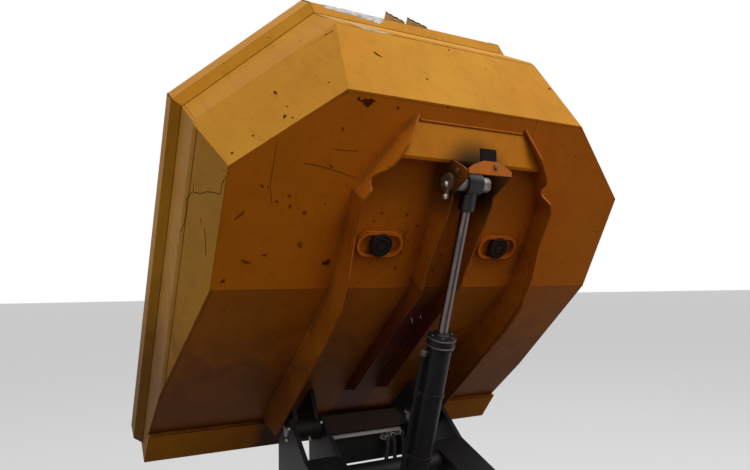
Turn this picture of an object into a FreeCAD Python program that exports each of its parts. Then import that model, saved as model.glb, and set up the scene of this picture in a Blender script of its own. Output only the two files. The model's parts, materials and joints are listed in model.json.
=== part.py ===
import FreeCAD, Part
import math
import os

os.makedirs("parts", exist_ok=True)

V = FreeCAD.Vector

# Articulated site dumper, skip raised. Millimetres, X forward, Y left, Z up.
# The machine frame has X = 0 at the centre pivot and Z = 0 on the ground; the finished pieces
# are moved along X at the end so that the origin lies under the middle of the whole machine.

# Clearances
FIT = 0.3
SIDE_GAP = 2
GAP = 6

# Running gear
FRONT_AXLE_X = 980
REAR_AXLE_X = -980
TYRE_R = 430
TYRE_W = 290
TRACK_HALF = 750
BEAD_R = 192
TREAD_SHOULDER = 34
SIDEWALL_BULGE = 12
BEAD_SEAT = 40
SIDEWALL_MID = 60
SHOULDER_DROP = 120
FLANGE_H = 18
FLANGE_T = 15
RIM_WALL = 8
DISC_INSET = 92
DISC_T = 14
DISC_HOLES = 8
DISC_HOLE_R = 17
DISC_HOLE_AT = 150
HUB_R = 92
HUB_OUT = 72
BORE_R = 62
AXLE_TUBE_R = 58
AXLE_END = 598
END_FLANGE_R = 96
END_FLANGE_LEN = 60
SPINDLE_R = 32
SPINDLE_LEN = 70
DIFF_R = 132
DIFF_HALF = 118
DIFF_FACE_R = 70
DIFF_CROWN = 50

# Skip, written level in its own frame: x forward from the rear rim, z up from under the floor
SKIP_HALF = 920
SKIP_REAR_HALF = 451
CORNER_LEN = 408
RIM_TOP_REAR = 661
RIM_TOP_SIDE = 571
RIM_FACE = 86
RIM_UNDERCUT = 35
RIM_OUT = 32
BAND_FOOT_REAR = 318
BAND_FOOT_SIDE = 246
FLOOR_REAR_X = 206
FLOOR_REAR_HALF = 498
FLOOR_CORNER_X = 482
FLOOR_HALF = 828
FOLD_X = 894
PANEL_END = (1786, 375)
LIP_TIP = (1905, 392)
RIM_FRONT_X = 1868
PLATE_T = 8
EDGE_T = 20
EDGE_BACK = 40

# Tipping gear: the hinge in the machine and in the skip, and how far the skip is tipped
HINGE_X = 1780
HINGE_Z = 1061
SKIP_HINGE_X = 1647
SKIP_HINGE_Z = 156
TIP_ANGLE = 60.8
HINGE_PIN_R = 20
HINGE_EAR_R = 46
HINGE_EAR_FOOT = (1530, 1730)
HINGE_EAR_T = 20
LUG_R = 54
LUG_T = 20
LUG_BACK = 180
LUG_FRONT = 100
LUG_FALL = 60
EYE_X = 450
EYE_Z = -74
EYE_PIN_R = 17.5
EYE_R = 40
EYE_HALF = 30
COLLAR_R = 27
COLLAR_LEN = 40
RAM_BASE_X = 1470
RAM_BASE_Z = 726
BARREL_R = 46
BARREL_LEN = 790
BARREL_FOOT = 92
BARREL_NECK_R = 27
BARREL_FLOOR = 128
GLAND_R = 52
GLAND_LEN = 46
ROD_R = 18
ROD_HEAD_R = 29
ROD_HEAD_LEN = 92
RAM_PIN_R = 20
PIPE_R = 8
PIPE_OFF = 68
PIPE_FROM = 170
PIPE_TO = 725
PIPE_BOSS_R = 12

# Stiffeners under the skip: outlines as (x, height), heights measured from under the floor
RIB_T = 8
OUTER_RIB_Y = 405
WING_ROOT = (250, 231)
WING_BEND_X = 530
WING_EDGE = [(250, -8), (266, -19), (285, -37), (311, -59), (334, -76), (348, -80), (391, -87),
             (411, -87), (430, -77), (441, -62), (455, -46), (467, -39), (477, -41), (485, -52),
             (490, -70), (499, -85), (530, -88)]
MAIN_RIB_EDGE = [(530, -88), (663, -84), (802, -104), (936, -103), (1069, -64), (1383, 65),
                 (1660, 178), (1700, 200)]
MAIN_RIB_END = 1740
LAP_EDGE = [(715, 0), (729, -14), (746, -45), (771, -69), (797, -80), (847, -87), (936, -91),
            (1069, -52), (1440, 100)]
LAP_END = 1500
INNER_RIB_Y = 87
INNER_REAR_EDGE = [(372, 0), (377, -128), (386, -164), (398, -160), (481, -105), (502, -113),
                   (573, -110), (680, -93), (790, -80), (862, -78), (850, 0)]
INNER_FRONT_EDGE = [(800, 0), (806, -70), (862, -76), (910, -64), (1023, -8), (1086, 20),
                    (1500, 194)]
INNER_FRONT_END = 1560
BEAM_PROFILE = [(268, 0), (376, -57), (388, -57), (396, 0)]
BUFFER_X = 716
BUFFER_Y = 262
BUFFER_R = 44
BUFFER_H = 26
BUFFER_CHAMFER = 5
SEAT_LIFT = 2
RING_H = 16
RING_HALF = (48, 92)
RING_WALL = 12

# Cap plate over the ram's head and the dark flap under it, both in one sloping plane
CAP_FOOT = (386, -164)
CAP_SLOPE = (-0.872, 0.49)
CAP_T = 8
CAP_OUTLINE = [(91, 0), (91, 17), (62, 35), (28, 47), (-28, 47), (-62, 35), (-91, 17), (-91, 0)]
FLAP_HALF = 33
FLAP_RUN = (26, 90)
FLAP_T = 6
CAP_BOLT = (-22, 30)
EAR_BOLT = (398, -101)
BOLT_R = 9
BOLT_H = 6
KEEPER_BOSS_R = 32
KEEPER_BOSS_LEN = 14
KEEPER_T = 8
KEEPER_BAR = [(438, -92), (446, -76), (500, -96), (496, -112)]

# Front frame
MEMBER_IN = 219
MEMBER_OUT = 379
MEMBER_DEPTH = 100
MEMBER_SLOPE = 21.8
MEMBER_TOP_Z = 674
MEMBER_TOP_AT = 840
MEMBER_FRONT_X = 1706
TRANSOM_X = 150
TRANSOM_T = 20
TRANSOM_HALF = 395
TRANSOM_Z = (290, 600)
GUSSET_T = 16
GUSSET_END = 430
SADDLE_HALF = 90
SADDLE_INSET = 20
POST_HALF = 36
CROSS_PLATE_X = (1860, 1872)
CROSS_PLATE_Z = (870, 1003)
CROSS_T = 12
CROSS_FLANGE = 34
TUBE_AT = (1572, 902)
TUBE_R = 44
CHEEK_T = 18
CHEEK_GAP = 4
CHEEK_EYE = 42
PIVOT_R = 30
LUG_UP = (520, 550)
LUG_LOW = (300, 330)
PIVOT_LUG_R = 75
KNUCKLE_R = 68
PIN_PROUD = 8
LASH_REACH = 38
LASH_T = 24
LASH_HOLE_R = 18
FRONT_LASH = (1540, 300, 812)
HOSE_R = 9
HOSE_BEND = 40
HOSES = [[(1860, -117, 968), (1800, -117, 968), (1800, -78, 740), (1572, -78, 740), (1572, -78, 860)],
         [(1860, -148, 978), (1800, -148, 978), (1800, -146, 740), (1572, -146, 740),
          (1572, -146, 860)],
         [(1860, -195, 980), (1800, -195, 980), (1800, -195, 740), (1572, -195, 740),
          (1572, -195, 860)]]
REAR_LASH = (-1853, 330, 640)

# Steering ram
STEER_REAR = (-410, 135)
STEER_FRONT = (70, 150)
STEER_Z = 425
STEER_BARREL_LEN = 300
STEER_BARREL_R = 27
STEER_ROD_R = 13
STEER_ROD_FROM = 160
STEER_EYE_R = 24
STEER_EYE_HALF = 15
STEER_PIN_R = 11
STEER_WINDOW = ((85, 198), (383, 467))
STEER_LUG_T = 14
STEER_LUG_GAP = 4
STEER_LUG_HALF = 35
STEER_TUBE_FROM = 44
STEER_FLOOR = 60
ANCHOR_HALF = 30

# Rear frame
RAIL_IN = 225
RAIL_OUT = 290
RAIL_Z = (500, 600)
REAR_TRANSOM_X = -160
REAR_TRANSOM_HALF = 300
REAR_END_X = -1745
REAR_CROSS_X = (-640, -1180)
REAR_CROSS_HALF = 30
REAR_CROSS_Z = (510, 590)
BUMPER_T = 70
BUMPER_HALF = 430
BUMPER_Z = (420, 740)
BUMPER_CHAMFER = 60
HITCH_Z = 540
HITCH_PIN_R = 16
HITCH_REACH = 90
HITCH_HALF = 55
HITCH_PLATE = 20
HITCH_OPEN = 50
HITCH_PIN_BACK = 40

# Driver's place
FLOOR_T = 8
FLOOR_X = (-640, -190)
FLOOR_HALF_W = 500
KICK_H = 40
COWL_X = (-330, -230)
COWL_HALF = 230
COWL_TOP = 1215
COWL_FALL = 70
COLUMN_FOOT_Z = 1040
COLUMN_LEAN = (-0.45, 0.9)
COLUMN_LEN = 220
COLUMN_R = 26
WHEEL_RING_R = 175
WHEEL_GRIP_R = 14
SPOKE_R = 8
WHEEL_BOSS_R = 34
WHEEL_RISE = 12
WHEEL_BOSS_RISE = 22
PEDAL_X = -420
PEDAL_RUN = 90
PEDAL_RISE = 60
PEDAL_HALF = 32
PEDAL_Y = (95, -95)
SEAT_X = (-1110, -660)
SEAT_HALF = 240
SEAT_Z = 800
SEAT_INSET = 10
CUSHION_H = 110
CUSHION_ROUND = 28
BACK_TOP = 470
BACK_T = 90
BACK_LEAN = 60
TANK_X = (-640, -235)
TANK_OUT = 500
TANK_FOOT = 350
TANK_ROUND = 35
CONSOLE = ((-600, -500), (-400, -330), 850)
LEVER_Y = (-385, -345)
LEVER_LEAN = 25
LEVER_LEN = 120
LEVER_R = 7
LEVER_KNOB_R = 15
LAMP_R = 52
LAMP_LEN = 62
LAMP_AT = (-200, 420, 905)
LAMP_POST = 30
REAR_LAMP = ((300, 364), (690, 726), 28)

# Engine and its housing
ENGINE_X = (-1690, -1240)
ENGINE_HALF = 200
ENGINE_Z = (470, 1090)
FOOT_X = (-1640, -1330)
FOOT_LEN = 40
FOOT_Z = (520, 560)
BONNET_X = (-1720, -1180)
BONNET_HALF = 385
BONNET_TOP = 1190
BONNET_SLANT = (110, 120)
BONNET_SPLIT = 980
BONNET_CHAMFER = 60
SHEET_T = 4
LID_PIN_R = 6
LID_KNUCKLE_R = 11
LID_KNUCKLES = (180, 300)
LID_STAY_W = 20
STAY_H = 40
EXHAUST_AT = (-1600, -411)
EXHAUST_R = 20
EXHAUST_Z = (700, 1440)
EXHAUST_FLANGE_Z = 760

# Mudguards and roll-over bar
GUARD_GAP = 55
GUARD_Y = (500, 910)
GUARD_ANGLES = range(20, 161, 20)
ROPS_X = -1120
ROPS_HALF = 470
ROPS_TUBE_R = 32
ROPS_HINGE_Z = 1290
ROPS_TOP = 2440
ROPS_BEND = 160
ROPS_TAIL = 36
ROPS_PIN_R = 12
ROPS_POST_HALF = 35
ROPS_POST_Y = (430, 495)
ROPS_EAR_T = 10
ROPS_EAR_DROP = 110
ROPS_EAR_RISE = 40
ROPS_FOOT = (60, 14)
ROPS_FOOT_LAP = 40
BIG = 3000


def box(x, y, z):
    """Box between the low and high value given for each axis."""
    corner = V(min(x), min(y), min(z))
    return Part.makeBox(abs(x[1] - x[0]), abs(y[1] - y[0]), abs(z[1] - z[0]), corner)


def cyl(start, end, r):
    """Round bar of radius r from start to end."""
    start, end = V(*start), V(*end)
    run = end - start
    return Part.makeCylinder(r, run.Length, start, run)


def prism(points, axis, low, high):
    """Flat outline pushed along an axis: y takes (x, z), x takes (y, z), z takes (x, y)."""
    lift = {"x": lambda a, b: V(low, a, b),
            "y": lambda a, b: V(a, low, b),
            "z": lambda a, b: V(a, b, low)}[axis]
    push = {"x": V(high - low, 0, 0), "y": V(0, high - low, 0), "z": V(0, 0, high - low)}[axis]
    corners = [lift(a, b) for a, b in points]
    return Part.Face(Part.makePolygon(corners + corners[:1])).extrude(push)


def turned(outline, centre, axis):
    """Solid of revolution: outline is (radius, distance along the axis) from the centre."""
    centre, axis = V(*centre), V(*axis)
    side = V(0, 0, 1) if abs(axis.z) < 0.5 else V(1, 0, 0)
    corners = [centre + side * r + axis * a for r, a in outline]
    face = Part.Face(Part.makePolygon(corners + corners[:1]))
    return face.revolve(centre, axis, 360)


def bent_bar(points, r, bend):
    """Round bar along straight runs joined by arcs of radius bend."""
    pts = [V(*p) for p in points]
    edges, last = [], pts[0]
    for before, here, after in zip(pts, pts[1:], pts[2:]):
        inward, onward = (before - here).normalize(), (after - here).normalize()
        half = inward.getAngle(onward) / 2
        cut = bend / math.tan(half)
        start, end = here + inward * cut, here + onward * cut
        middle = (inward + onward).normalize() * (bend / math.sin(half) - bend) + here
        edges += [Part.LineSegment(last, start).toShape(), Part.Arc(start, middle, end).toShape()]
        last = end
    edges.append(Part.LineSegment(last, pts[-1]).toShape())
    section = Part.Wire(Part.makeCircle(r, pts[0], pts[1] - pts[0]))
    return Part.Wire(edges).makePipeShell([section], True, False)


def clip(shape, point, outward):
    """Take away what lies beyond the plane through point with this outward normal."""
    slab = Part.makeBox(4 * BIG, 4 * BIG, 2 * BIG, V(-2 * BIG, -2 * BIG, 0))
    slab.Placement = FreeCAD.Placement(V(*point), FreeCAD.Rotation(V(0, 0, 1), V(*outward)))
    return shape.cut(slab)


def mirror(shape):
    """The same piece on the right-hand side."""
    return shape.mirror(V(0, 0, 0), V(0, 1, 0))


def both(*shapes):
    """The pieces and their mirror images as separate solids."""
    return Part.makeCompound([s for shape in shapes for s in (shape, mirror(shape))])


def fuse(*shapes):
    """One welded solid."""
    return shapes[0].multiFuse(list(shapes[1:])).removeSplitter()


def unit(x, y, z):
    """Direction of length one."""
    return V(x, y, z).normalize()


nodes = {}


def add(name, *shapes):
    """Store a node: each solid of it stays a solid of its own."""
    solids = [solid for shape in shapes for solid in shape.Solids]
    nodes[name] = solids[0] if len(solids) == 1 else Part.makeCompound(solids)


def tip(shape):
    """Move a skip piece from the skip's own level frame to the machine, tipped."""
    moved = shape.copy()
    moved.translate(V(HINGE_X - SKIP_HINGE_X, 0, HINGE_Z - SKIP_HINGE_Z))
    moved.rotate(V(HINGE_X, 0, HINGE_Z), V(0, 1, 0), TIP_ANGLE)
    return moved


def skip_point(x, z, angle=TIP_ANGLE):
    """A point of the skip's middle plane in the machine frame, with the skip at this angle."""
    c, s = math.cos(math.radians(angle)), math.sin(math.radians(angle))
    dx, dz = x - SKIP_HINGE_X, z - SKIP_HINGE_Z
    return HINGE_X + c * dx + s * dz, HINGE_Z - s * dx + c * dz


def laid(*shapes):
    """Pieces put together in turn: each is trimmed to the ones laid before it."""
    done = []
    for shape in shapes:
        for before in done:
            if shape.BoundBox.intersect(before.BoundBox):
                shape = shape.cut(before)
        done.append(shape)
    return Part.makeCompound(done)


def split(shape, planes):
    """Cut a shell into plates: beyond each plane, given by point and normal, lies one plate."""
    plates = []
    for point, normal in planes:
        plates.append(clip(shape, point, normal * -1))
        shape = clip(shape, point, normal)
    return Part.makeCompound(plates + [shape])


def bored(shape, start, end, r):
    """The piece with a round hole from start to end."""
    return shape.cut(cyl(start, end, r))


# Skip shell
PANEL_SLOPE = PANEL_END[1] / (PANEL_END[0] - FOLD_X)
PANEL_ANGLE = math.atan(PANEL_SLOPE)
LIP_RUN = (LIP_TIP[0] - PANEL_END[0], LIP_TIP[1] - PANEL_END[1])
LIP_ANGLE = math.atan2(LIP_RUN[1], LIP_RUN[0])
CORNER_RUN = V(CORNER_LEN, SKIP_HALF - SKIP_REAR_HALF, 0)
BAND_HALF = SKIP_HALF - RIM_OUT


def panel_z(x):
    """Height of the underside of the floor or, further forward, of the sloping panel."""
    return max(0.0, (x - FOLD_X) * PANEL_SLOPE)


def wall_planes():
    """Point and outward normal of each wall: the slopes, then the upright band above them."""
    along = unit(*CORNER_RUN)
    out = V(-along.y, along.x, 0)
    corner_band = V(0, SKIP_REAR_HALF, 0) - out * RIM_OUT
    floor_edge = V(FLOOR_CORNER_X - FLOOR_REAR_X, FLOOR_HALF - FLOOR_REAR_HALF, 0)
    foot_mid = corner_band + along * (CORNER_RUN.Length / 2)
    foot_mid.z = (BAND_FOOT_REAR + BAND_FOOT_SIDE) / 2
    corner_floor = V(FLOOR_REAR_X, FLOOR_REAR_HALF, 0)
    slope = (foot_mid - corner_floor).cross(floor_edge).normalize()
    rear = unit(-BAND_FOOT_REAR, 0, -(FLOOR_REAR_X - RIM_OUT))
    side = unit(0, BAND_FOOT_SIDE, -(BAND_HALF - FLOOR_HALF))
    left = [(V(0, BAND_HALF, 0), V(0, 1, 0)), (corner_band, out),
            (V(FLOOR_CORNER_X, FLOOR_HALF, 0), side), (corner_floor, slope)]
    right = [(V(p.x, -p.y, p.z), V(n.x, -n.y, n.z)) for p, n in left]
    return [(V(RIM_OUT, 0, 0), V(-1, 0, 0)), (V(FLOOR_REAR_X, 0, 0), rear)] + left + right


def skip_body(outline, inset):
    """The side profile pushed across the skip, cut to the walls moved in by inset."""
    body = prism(outline, "y", -SKIP_HALF, SKIP_HALF)
    for point, normal in wall_planes():
        body = clip(body, point - normal * inset, normal)
    return body


outer_profile = [(0, 0), (FOLD_X, 0), PANEL_END, LIP_TIP, (RIM_FRONT_X, RIM_TOP_SIDE),
                 (CORNER_LEN, RIM_TOP_SIDE), (0, RIM_TOP_REAR)]
fold_back = PLATE_T * math.tan(PANEL_ANGLE / 2)
bend_back = PLATE_T * math.sin((PANEL_ANGLE + LIP_ANGLE) / 2)
inner_profile = [(0, PLATE_T), (FOLD_X - fold_back, PLATE_T),
                 (PANEL_END[0] - bend_back, PANEL_END[1] + PLATE_T),
                 (LIP_TIP[0] + LIP_RUN[0], LIP_TIP[1] + LIP_RUN[1] + PLATE_T),
                 (LIP_TIP[0] + LIP_RUN[0], RIM_TOP_REAR + PLATE_T), (0, RIM_TOP_REAR + PLATE_T)]
shell = skip_body(outer_profile, 0).cut(skip_body(inner_profile, PLATE_T))
cuts = [(point - normal * PLATE_T, normal) for point, normal in wall_planes()]
fold_line = V(FOLD_X - fold_back, 0, PLATE_T)
bend_line = V(PANEL_END[0] - bend_back, 0, PANEL_END[1] + PLATE_T)
cuts.append((bend_line, V(math.cos(LIP_ANGLE), 0, math.sin(LIP_ANGLE))))
cuts.append((fold_line, V(math.cos(PANEL_ANGLE / 2), 0, math.sin(PANEL_ANGLE / 2))))
add("skip_shell", tip(split(shell, cuts)))


def rim_section(outer, inner, top):
    """Corners of the rim's section where it turns: outer and inner are (x, y) in plan."""
    return [V(outer[0], outer[1], top), V(outer[0], outer[1], top - RIM_FACE),
            V(inner[0], inner[1], top - RIM_FACE - RIM_UNDERCUT), V(inner[0], inner[1], top)]


def rim():
    """Folded rim outside the band, in mitred lengths along the rear, corners and sides."""
    turn_rear = math.atan2(CORNER_RUN.x, CORNER_RUN.y) / 2
    turn_side = math.atan2(CORNER_RUN.y, CORNER_RUN.x) / 2
    rear_in = (RIM_OUT, SKIP_REAR_HALF - RIM_OUT * math.tan(turn_rear))
    side_in = (CORNER_LEN + RIM_OUT * math.tan(turn_side), BAND_HALF)
    stations = [((0, SKIP_REAR_HALF), rear_in, RIM_TOP_REAR),
                ((CORNER_LEN, SKIP_HALF), side_in, RIM_TOP_SIDE),
                ((RIM_FRONT_X, SKIP_HALF), (RIM_FRONT_X, BAND_HALF), RIM_TOP_SIDE)]
    sections = [rim_section(*s) for s in stations]
    sections = [[V(p.x, -p.y, p.z) for p in s] for s in reversed(sections)] + sections
    lengths = []
    for here, there in zip(sections, sections[1:]):
        ends = [Part.makePolygon(s + s[:1]) for s in (here, there)]
        lengths.append(Part.makeLoft(ends, True, True).cut(shell))
    return Part.makeCompound(lengths)


add("skip_rim", tip(rim()))
edge_back = (PANEL_END[0] - EDGE_BACK, PANEL_END[1] - EDGE_BACK * PANEL_SLOPE)
edge = prism([PANEL_END, LIP_TIP, (LIP_TIP[0], LIP_TIP[1] - EDGE_T),
              (edge_back[0], edge_back[1] - EDGE_T), edge_back], "y", -BAND_HALF, BAND_HALF)
add("skip_cutting_edge", tip(edge))

# Outer ribs: a slanting wing behind, a long main plate and a lapped plate on its inner side
wing_run = V(WING_BEND_X - WING_ROOT[0], OUTER_RIB_Y - WING_ROOT[1], 0)
wing_dir = unit(*wing_run)
wing_side = V(-wing_dir.y, wing_dir.x, 0)
stretch = wing_run.Length / wing_run.x
wing_edge = [((x - WING_ROOT[0]) * stretch, z) for x, z in WING_EDGE]
beyond = wing_run.Length + RIB_T
wing = prism([(0, 0)] + wing_edge + [(beyond, WING_EDGE[-1][1]), (beyond, 0)], "y",
             -RIB_T / 2, RIB_T / 2)
wing.rotate(V(0, 0, 0), V(0, 0, 1), math.degrees(math.atan2(wing_run.y, wing_run.x)))
wing.translate(V(*WING_ROOT, 0))
mitre = (wing_dir + V(1, 0, 0)).normalize()
bend_at = (WING_BEND_X, OUTER_RIB_Y, 0)
wing = clip(wing, bend_at, mitre)
main_start = (WING_BEND_X - RIB_T, MAIN_RIB_EDGE[0][1])
main_rib = prism([(main_start[0], 0), main_start] + MAIN_RIB_EDGE
                 + [(MAIN_RIB_END, panel_z(MAIN_RIB_END)), (FOLD_X, 0)], "y",
                 OUTER_RIB_Y - RIB_T / 2, OUTER_RIB_Y + RIB_T / 2)
main_rib = clip(main_rib, bend_at, mitre * -1)
lap = prism(LAP_EDGE + [(LAP_END, panel_z(LAP_END)), (FOLD_X, 0)], "y",
            OUTER_RIB_Y - 3 * RIB_T / 2, OUTER_RIB_Y - RIB_T / 2)
add("skip_ribs_outer", tip(both(wing, main_rib, lap)))

# Inner ribs: the rear length carries the ram's eye, the front length is lapped inside it
rear_length = prism(INNER_REAR_EDGE, "y", INNER_RIB_Y - RIB_T / 2, INNER_RIB_Y + RIB_T / 2)
front_length = prism(INNER_FRONT_EDGE + [(INNER_FRONT_END, panel_z(INNER_FRONT_END)), (FOLD_X, 0)],
                     "y", INNER_RIB_Y - 3 * RIB_T / 2, INNER_RIB_Y - RIB_T / 2)


def on_cap(y, along, inward):
    """A point of the cap plate: across the skip, up its slope and inward from its outer face."""
    return V(CAP_FOOT[0] + CAP_SLOPE[0] * along + CAP_SLOPE[1] * inward, y,
             CAP_FOOT[1] + CAP_SLOPE[1] * along - CAP_SLOPE[0] * inward)


def cap_piece(outline, low, high):
    """Flat piece of the cap, its outline given as (across, up the slope)."""
    corners = [on_cap(y, along, low) for y, along in outline]
    face = Part.Face(Part.makePolygon(corners + corners[:1]))
    return face.extrude(on_cap(0, 0, high) - on_cap(0, 0, low))


cap = cap_piece(CAP_OUTLINE, 0, CAP_T)
flap = cap_piece([(FLAP_HALF, FLAP_RUN[0]), (FLAP_HALF, FLAP_RUN[1]), (-FLAP_HALF, FLAP_RUN[1]),
                  (-FLAP_HALF, FLAP_RUN[0])], CAP_T, CAP_T + FLAP_T)
cap_bolt = cyl(tuple(on_cap(*CAP_BOLT, 0)), tuple(on_cap(*CAP_BOLT, -BOLT_H)), BOLT_R)
rib_face = INNER_RIB_Y + RIB_T / 2
ear_bolt = cyl((EAR_BOLT[0], rib_face, EAR_BOLT[1]), (EAR_BOLT[0], rib_face + BOLT_H, EAR_BOLT[1]),
               BOLT_R)
add("skip_ribs_inner", tip(both(rear_length.cut(cap), front_length)))
add("ram_head_cap", tip(cap))
add("ram_head_flap", tip(flap))
boss_end = rib_face + KEEPER_BOSS_LEN
boss = cyl((EYE_X, rib_face, EYE_Z), (EYE_X, boss_end, EYE_Z), KEEPER_BOSS_R)
keeper = prism(KEEPER_BAR, "y", boss_end, boss_end + KEEPER_T)
add("ram_head_fixings", tip(Part.makeCompound([cap_bolt, both(ear_bolt), both(boss), keeper])))

# Cross-beam from wing to wing, and the buffers in their oval seats
beam = prism(BEAM_PROFILE, "y", -OUTER_RIB_Y, OUTER_RIB_Y)
for sign in (1, -1):
    face = V(*WING_ROOT, 0) - wing_side * (RIB_T / 2)
    beam = clip(beam, (face.x, sign * face.y, 0), (wing_side.x, sign * wing_side.y, 0))
add("skip_cross_beam", tip(beam.cut(both(rear_length))))


def oval(half, low, high):
    """Stadium-shaped block round a buffer: half is its half-size along and across the skip."""
    ends = half[1] - half[0]
    block = box((BUFFER_X - half[0], BUFFER_X + half[0]), (BUFFER_Y - ends, BUFFER_Y + ends),
                (low, high))
    rounds = [cyl((BUFFER_X, BUFFER_Y + y, low), (BUFFER_X, BUFFER_Y + y, high), half[0])
              for y in (-ends, ends)]
    return fuse(block, *rounds)


ring = oval(RING_HALF, -RING_H, 0)
ring = ring.cut(oval([h - RING_WALL for h in RING_HALF], -RING_H, 0))
pad_r = BUFFER_R - BUFFER_CHAMFER
seat = RING_HALF[0] - RING_WALL - FIT
pad = turned([(0, 0), (seat, 0), (seat, -RING_H - SEAT_LIFT), (BUFFER_R, -RING_H - SEAT_LIFT),
              (BUFFER_R, -BUFFER_H + BUFFER_CHAMFER), (pad_r, -BUFFER_H), (0, -BUFFER_H)],
             (BUFFER_X, BUFFER_Y, 0), (0, 0, 1))
add("skip_buffer_rings", tip(both(ring)))
add("skip_buffers", tip(both(pad)))

# Hinge ears on the skip, between the frame's lugs: two plates and a tube for the pin
EAR_IN = MEMBER_IN + LUG_T + SIDE_GAP
EAR_OUT = MEMBER_OUT - LUG_T - SIDE_GAP
ear_outline = [(HINGE_EAR_FOOT[0], panel_z(HINGE_EAR_FOOT[0])),
               (SKIP_HINGE_X - HINGE_EAR_R, SKIP_HINGE_Z),
               (SKIP_HINGE_X + HINGE_EAR_R, SKIP_HINGE_Z),
               (HINGE_EAR_FOOT[1], panel_z(HINGE_EAR_FOOT[1]))]
hinge_line = ((SKIP_HINGE_X, EAR_IN, SKIP_HINGE_Z), (SKIP_HINGE_X, EAR_OUT, SKIP_HINGE_Z))
tube = bored(cyl(*hinge_line, HINGE_EAR_R), *hinge_line, HINGE_PIN_R + FIT)
ears = [prism(ear_outline, "y", low, low + HINGE_EAR_T).cut(cyl(*hinge_line, HINGE_EAR_R))
        for low in (EAR_IN, EAR_OUT - HINGE_EAR_T)]
add("skip_hinge_ears", tip(both(tube, *ears)))

# Tipping ram between the frame and the skip
base = V(RAM_BASE_X, 0, RAM_BASE_Z)
eye_x, eye_z = skip_point(EYE_X, EYE_Z)
low_x, low_z = skip_point(EYE_X, EYE_Z, 0)
eye = V(eye_x, 0, eye_z)
ram_dir = (eye - base).normalize()
ram_side = V(0, PIPE_OFF, 0)
RAM_LEN = (eye - base).Length
RAM_STROKE = RAM_LEN - (V(low_x, 0, low_z) - base).Length


def along_ram(distance, side=0):
    """A point on the ram's centre line from its base pin, moved sideways by a part of PIPE_OFF."""
    return tuple(base + ram_dir * distance + ram_side * side)


def across(centre, half, r):
    """Round bar across the machine through centre, from -half to half."""
    return cyl((centre.x, -half, centre.z), (centre.x, half, centre.z), r)


barrel = fuse(cyl(along_ram(BARREL_FOOT), along_ram(BARREL_LEN - GLAND_LEN), BARREL_R),
              cyl(along_ram(BARREL_LEN - GLAND_LEN), along_ram(BARREL_LEN), GLAND_R),
              cyl(tuple(base), along_ram(BARREL_FOOT), BARREL_NECK_R),
              across(base, EYE_HALF, EYE_R))
barrel = barrel.cut(across(base, 2 * EYE_HALF, RAM_PIN_R + FIT))
barrel = bored(barrel, along_ram(BARREL_FLOOR), along_ram(BARREL_LEN), ROD_R + FIT)
pipe = cyl(along_ram(PIPE_FROM, 1), along_ram(PIPE_TO, 1), PIPE_R)
bosses = [cyl(along_ram(at, BARREL_R / PIPE_OFF - 0.1), along_ram(at, 1), PIPE_BOSS_R).cut(barrel)
          for at in (PIPE_FROM, PIPE_TO)]
add("tip_ram_barrel", laid(barrel, *bosses, pipe))
rod = fuse(cyl(along_ram(BARREL_FLOOR + RAM_STROKE + GAP), tuple(eye), ROD_R),
           cyl(along_ram(RAM_LEN - ROD_HEAD_LEN), tuple(eye), ROD_HEAD_R),
           across(eye, EYE_HALF, EYE_R))
add("tip_ram_rod", rod.cut(across(eye, 2 * EYE_HALF, EYE_PIN_R)))
eye_pin = across(eye, INNER_RIB_Y - RIB_T / 2 - GAP, EYE_PIN_R)
collar = cyl((eye.x, EYE_HALF, eye.z), (eye.x, EYE_HALF + COLLAR_LEN, eye.z), COLLAR_R)
add("ram_eye_pin", fuse(eye_pin, collar, mirror(collar)))

# Front frame: two sloping side members from the pivot transom up to the skip's hinge
slope = math.tan(math.radians(MEMBER_SLOPE))
drop = MEMBER_DEPTH / math.cos(math.radians(MEMBER_SLOPE))
SKIP_TO_X = HINGE_X - SKIP_HINGE_X
SKIP_TO_Z = HINGE_Z - SKIP_HINGE_Z


def member_top(x):
    """Height of the top face of the sloping side members."""
    return MEMBER_TOP_Z + slope * (x - MEMBER_TOP_AT)


def lash_eye(x, y, z):
    """Square plate along the machine with a round lashing hole through it."""
    plate = box((x - LASH_REACH, x + LASH_REACH), (y - LASH_T / 2, y + LASH_T / 2),
                (z - LASH_REACH, z + LASH_REACH))
    return bored(plate, (x, y - LASH_T, z), (x, y + LASH_T, z), LASH_HOLE_R)


def pair_of_lugs(outline, inner, outer, t, start, end, r):
    """Two plates across the machine, bored for a pin from start to end."""
    return [bored(prism(outline, "y", low, low + t), start, end, r) for low in (inner, outer - t)]


member_rear = TRANSOM_X + TRANSOM_T
member = prism([(member_rear, member_top(member_rear)),
                (MEMBER_FRONT_X, member_top(MEMBER_FRONT_X)),
                (MEMBER_FRONT_X, member_top(MEMBER_FRONT_X) - drop),
                (member_rear, member_top(member_rear) - drop)], "y", MEMBER_IN, MEMBER_OUT)
lug_back = HINGE_X - LUG_BACK
lug_front = HINGE_X + LUG_FRONT
lug_outline = [(lug_back, member_top(lug_back) - drop), (lug_back, member_top(lug_back)),
               (HINGE_X - LUG_R, HINGE_Z + LUG_R / 2), (HINGE_X - LUG_R / 2, HINGE_Z + LUG_R),
               (HINGE_X + LUG_R / 2, HINGE_Z + LUG_R), (HINGE_X + LUG_R, HINGE_Z + LUG_R / 2),
               (lug_front, HINGE_Z - LUG_FALL), (lug_front, member_top(lug_back) - drop)]
lugs = pair_of_lugs(lug_outline, MEMBER_IN, MEMBER_OUT, LUG_T, (HINGE_X, 0, HINGE_Z),
                    (HINGE_X, BIG, HINGE_Z), HINGE_PIN_R)
member = member.cut(box((lug_back, BIG), (MEMBER_IN, MEMBER_OUT), (0, BIG)))
low_back = member_top(lug_back) - drop
inner_span = (MEMBER_IN + LUG_T, MEMBER_OUT - LUG_T)
end_plate = box((lug_back, lug_back + LUG_T), inner_span, (low_back, member_top(lug_back)))
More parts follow.
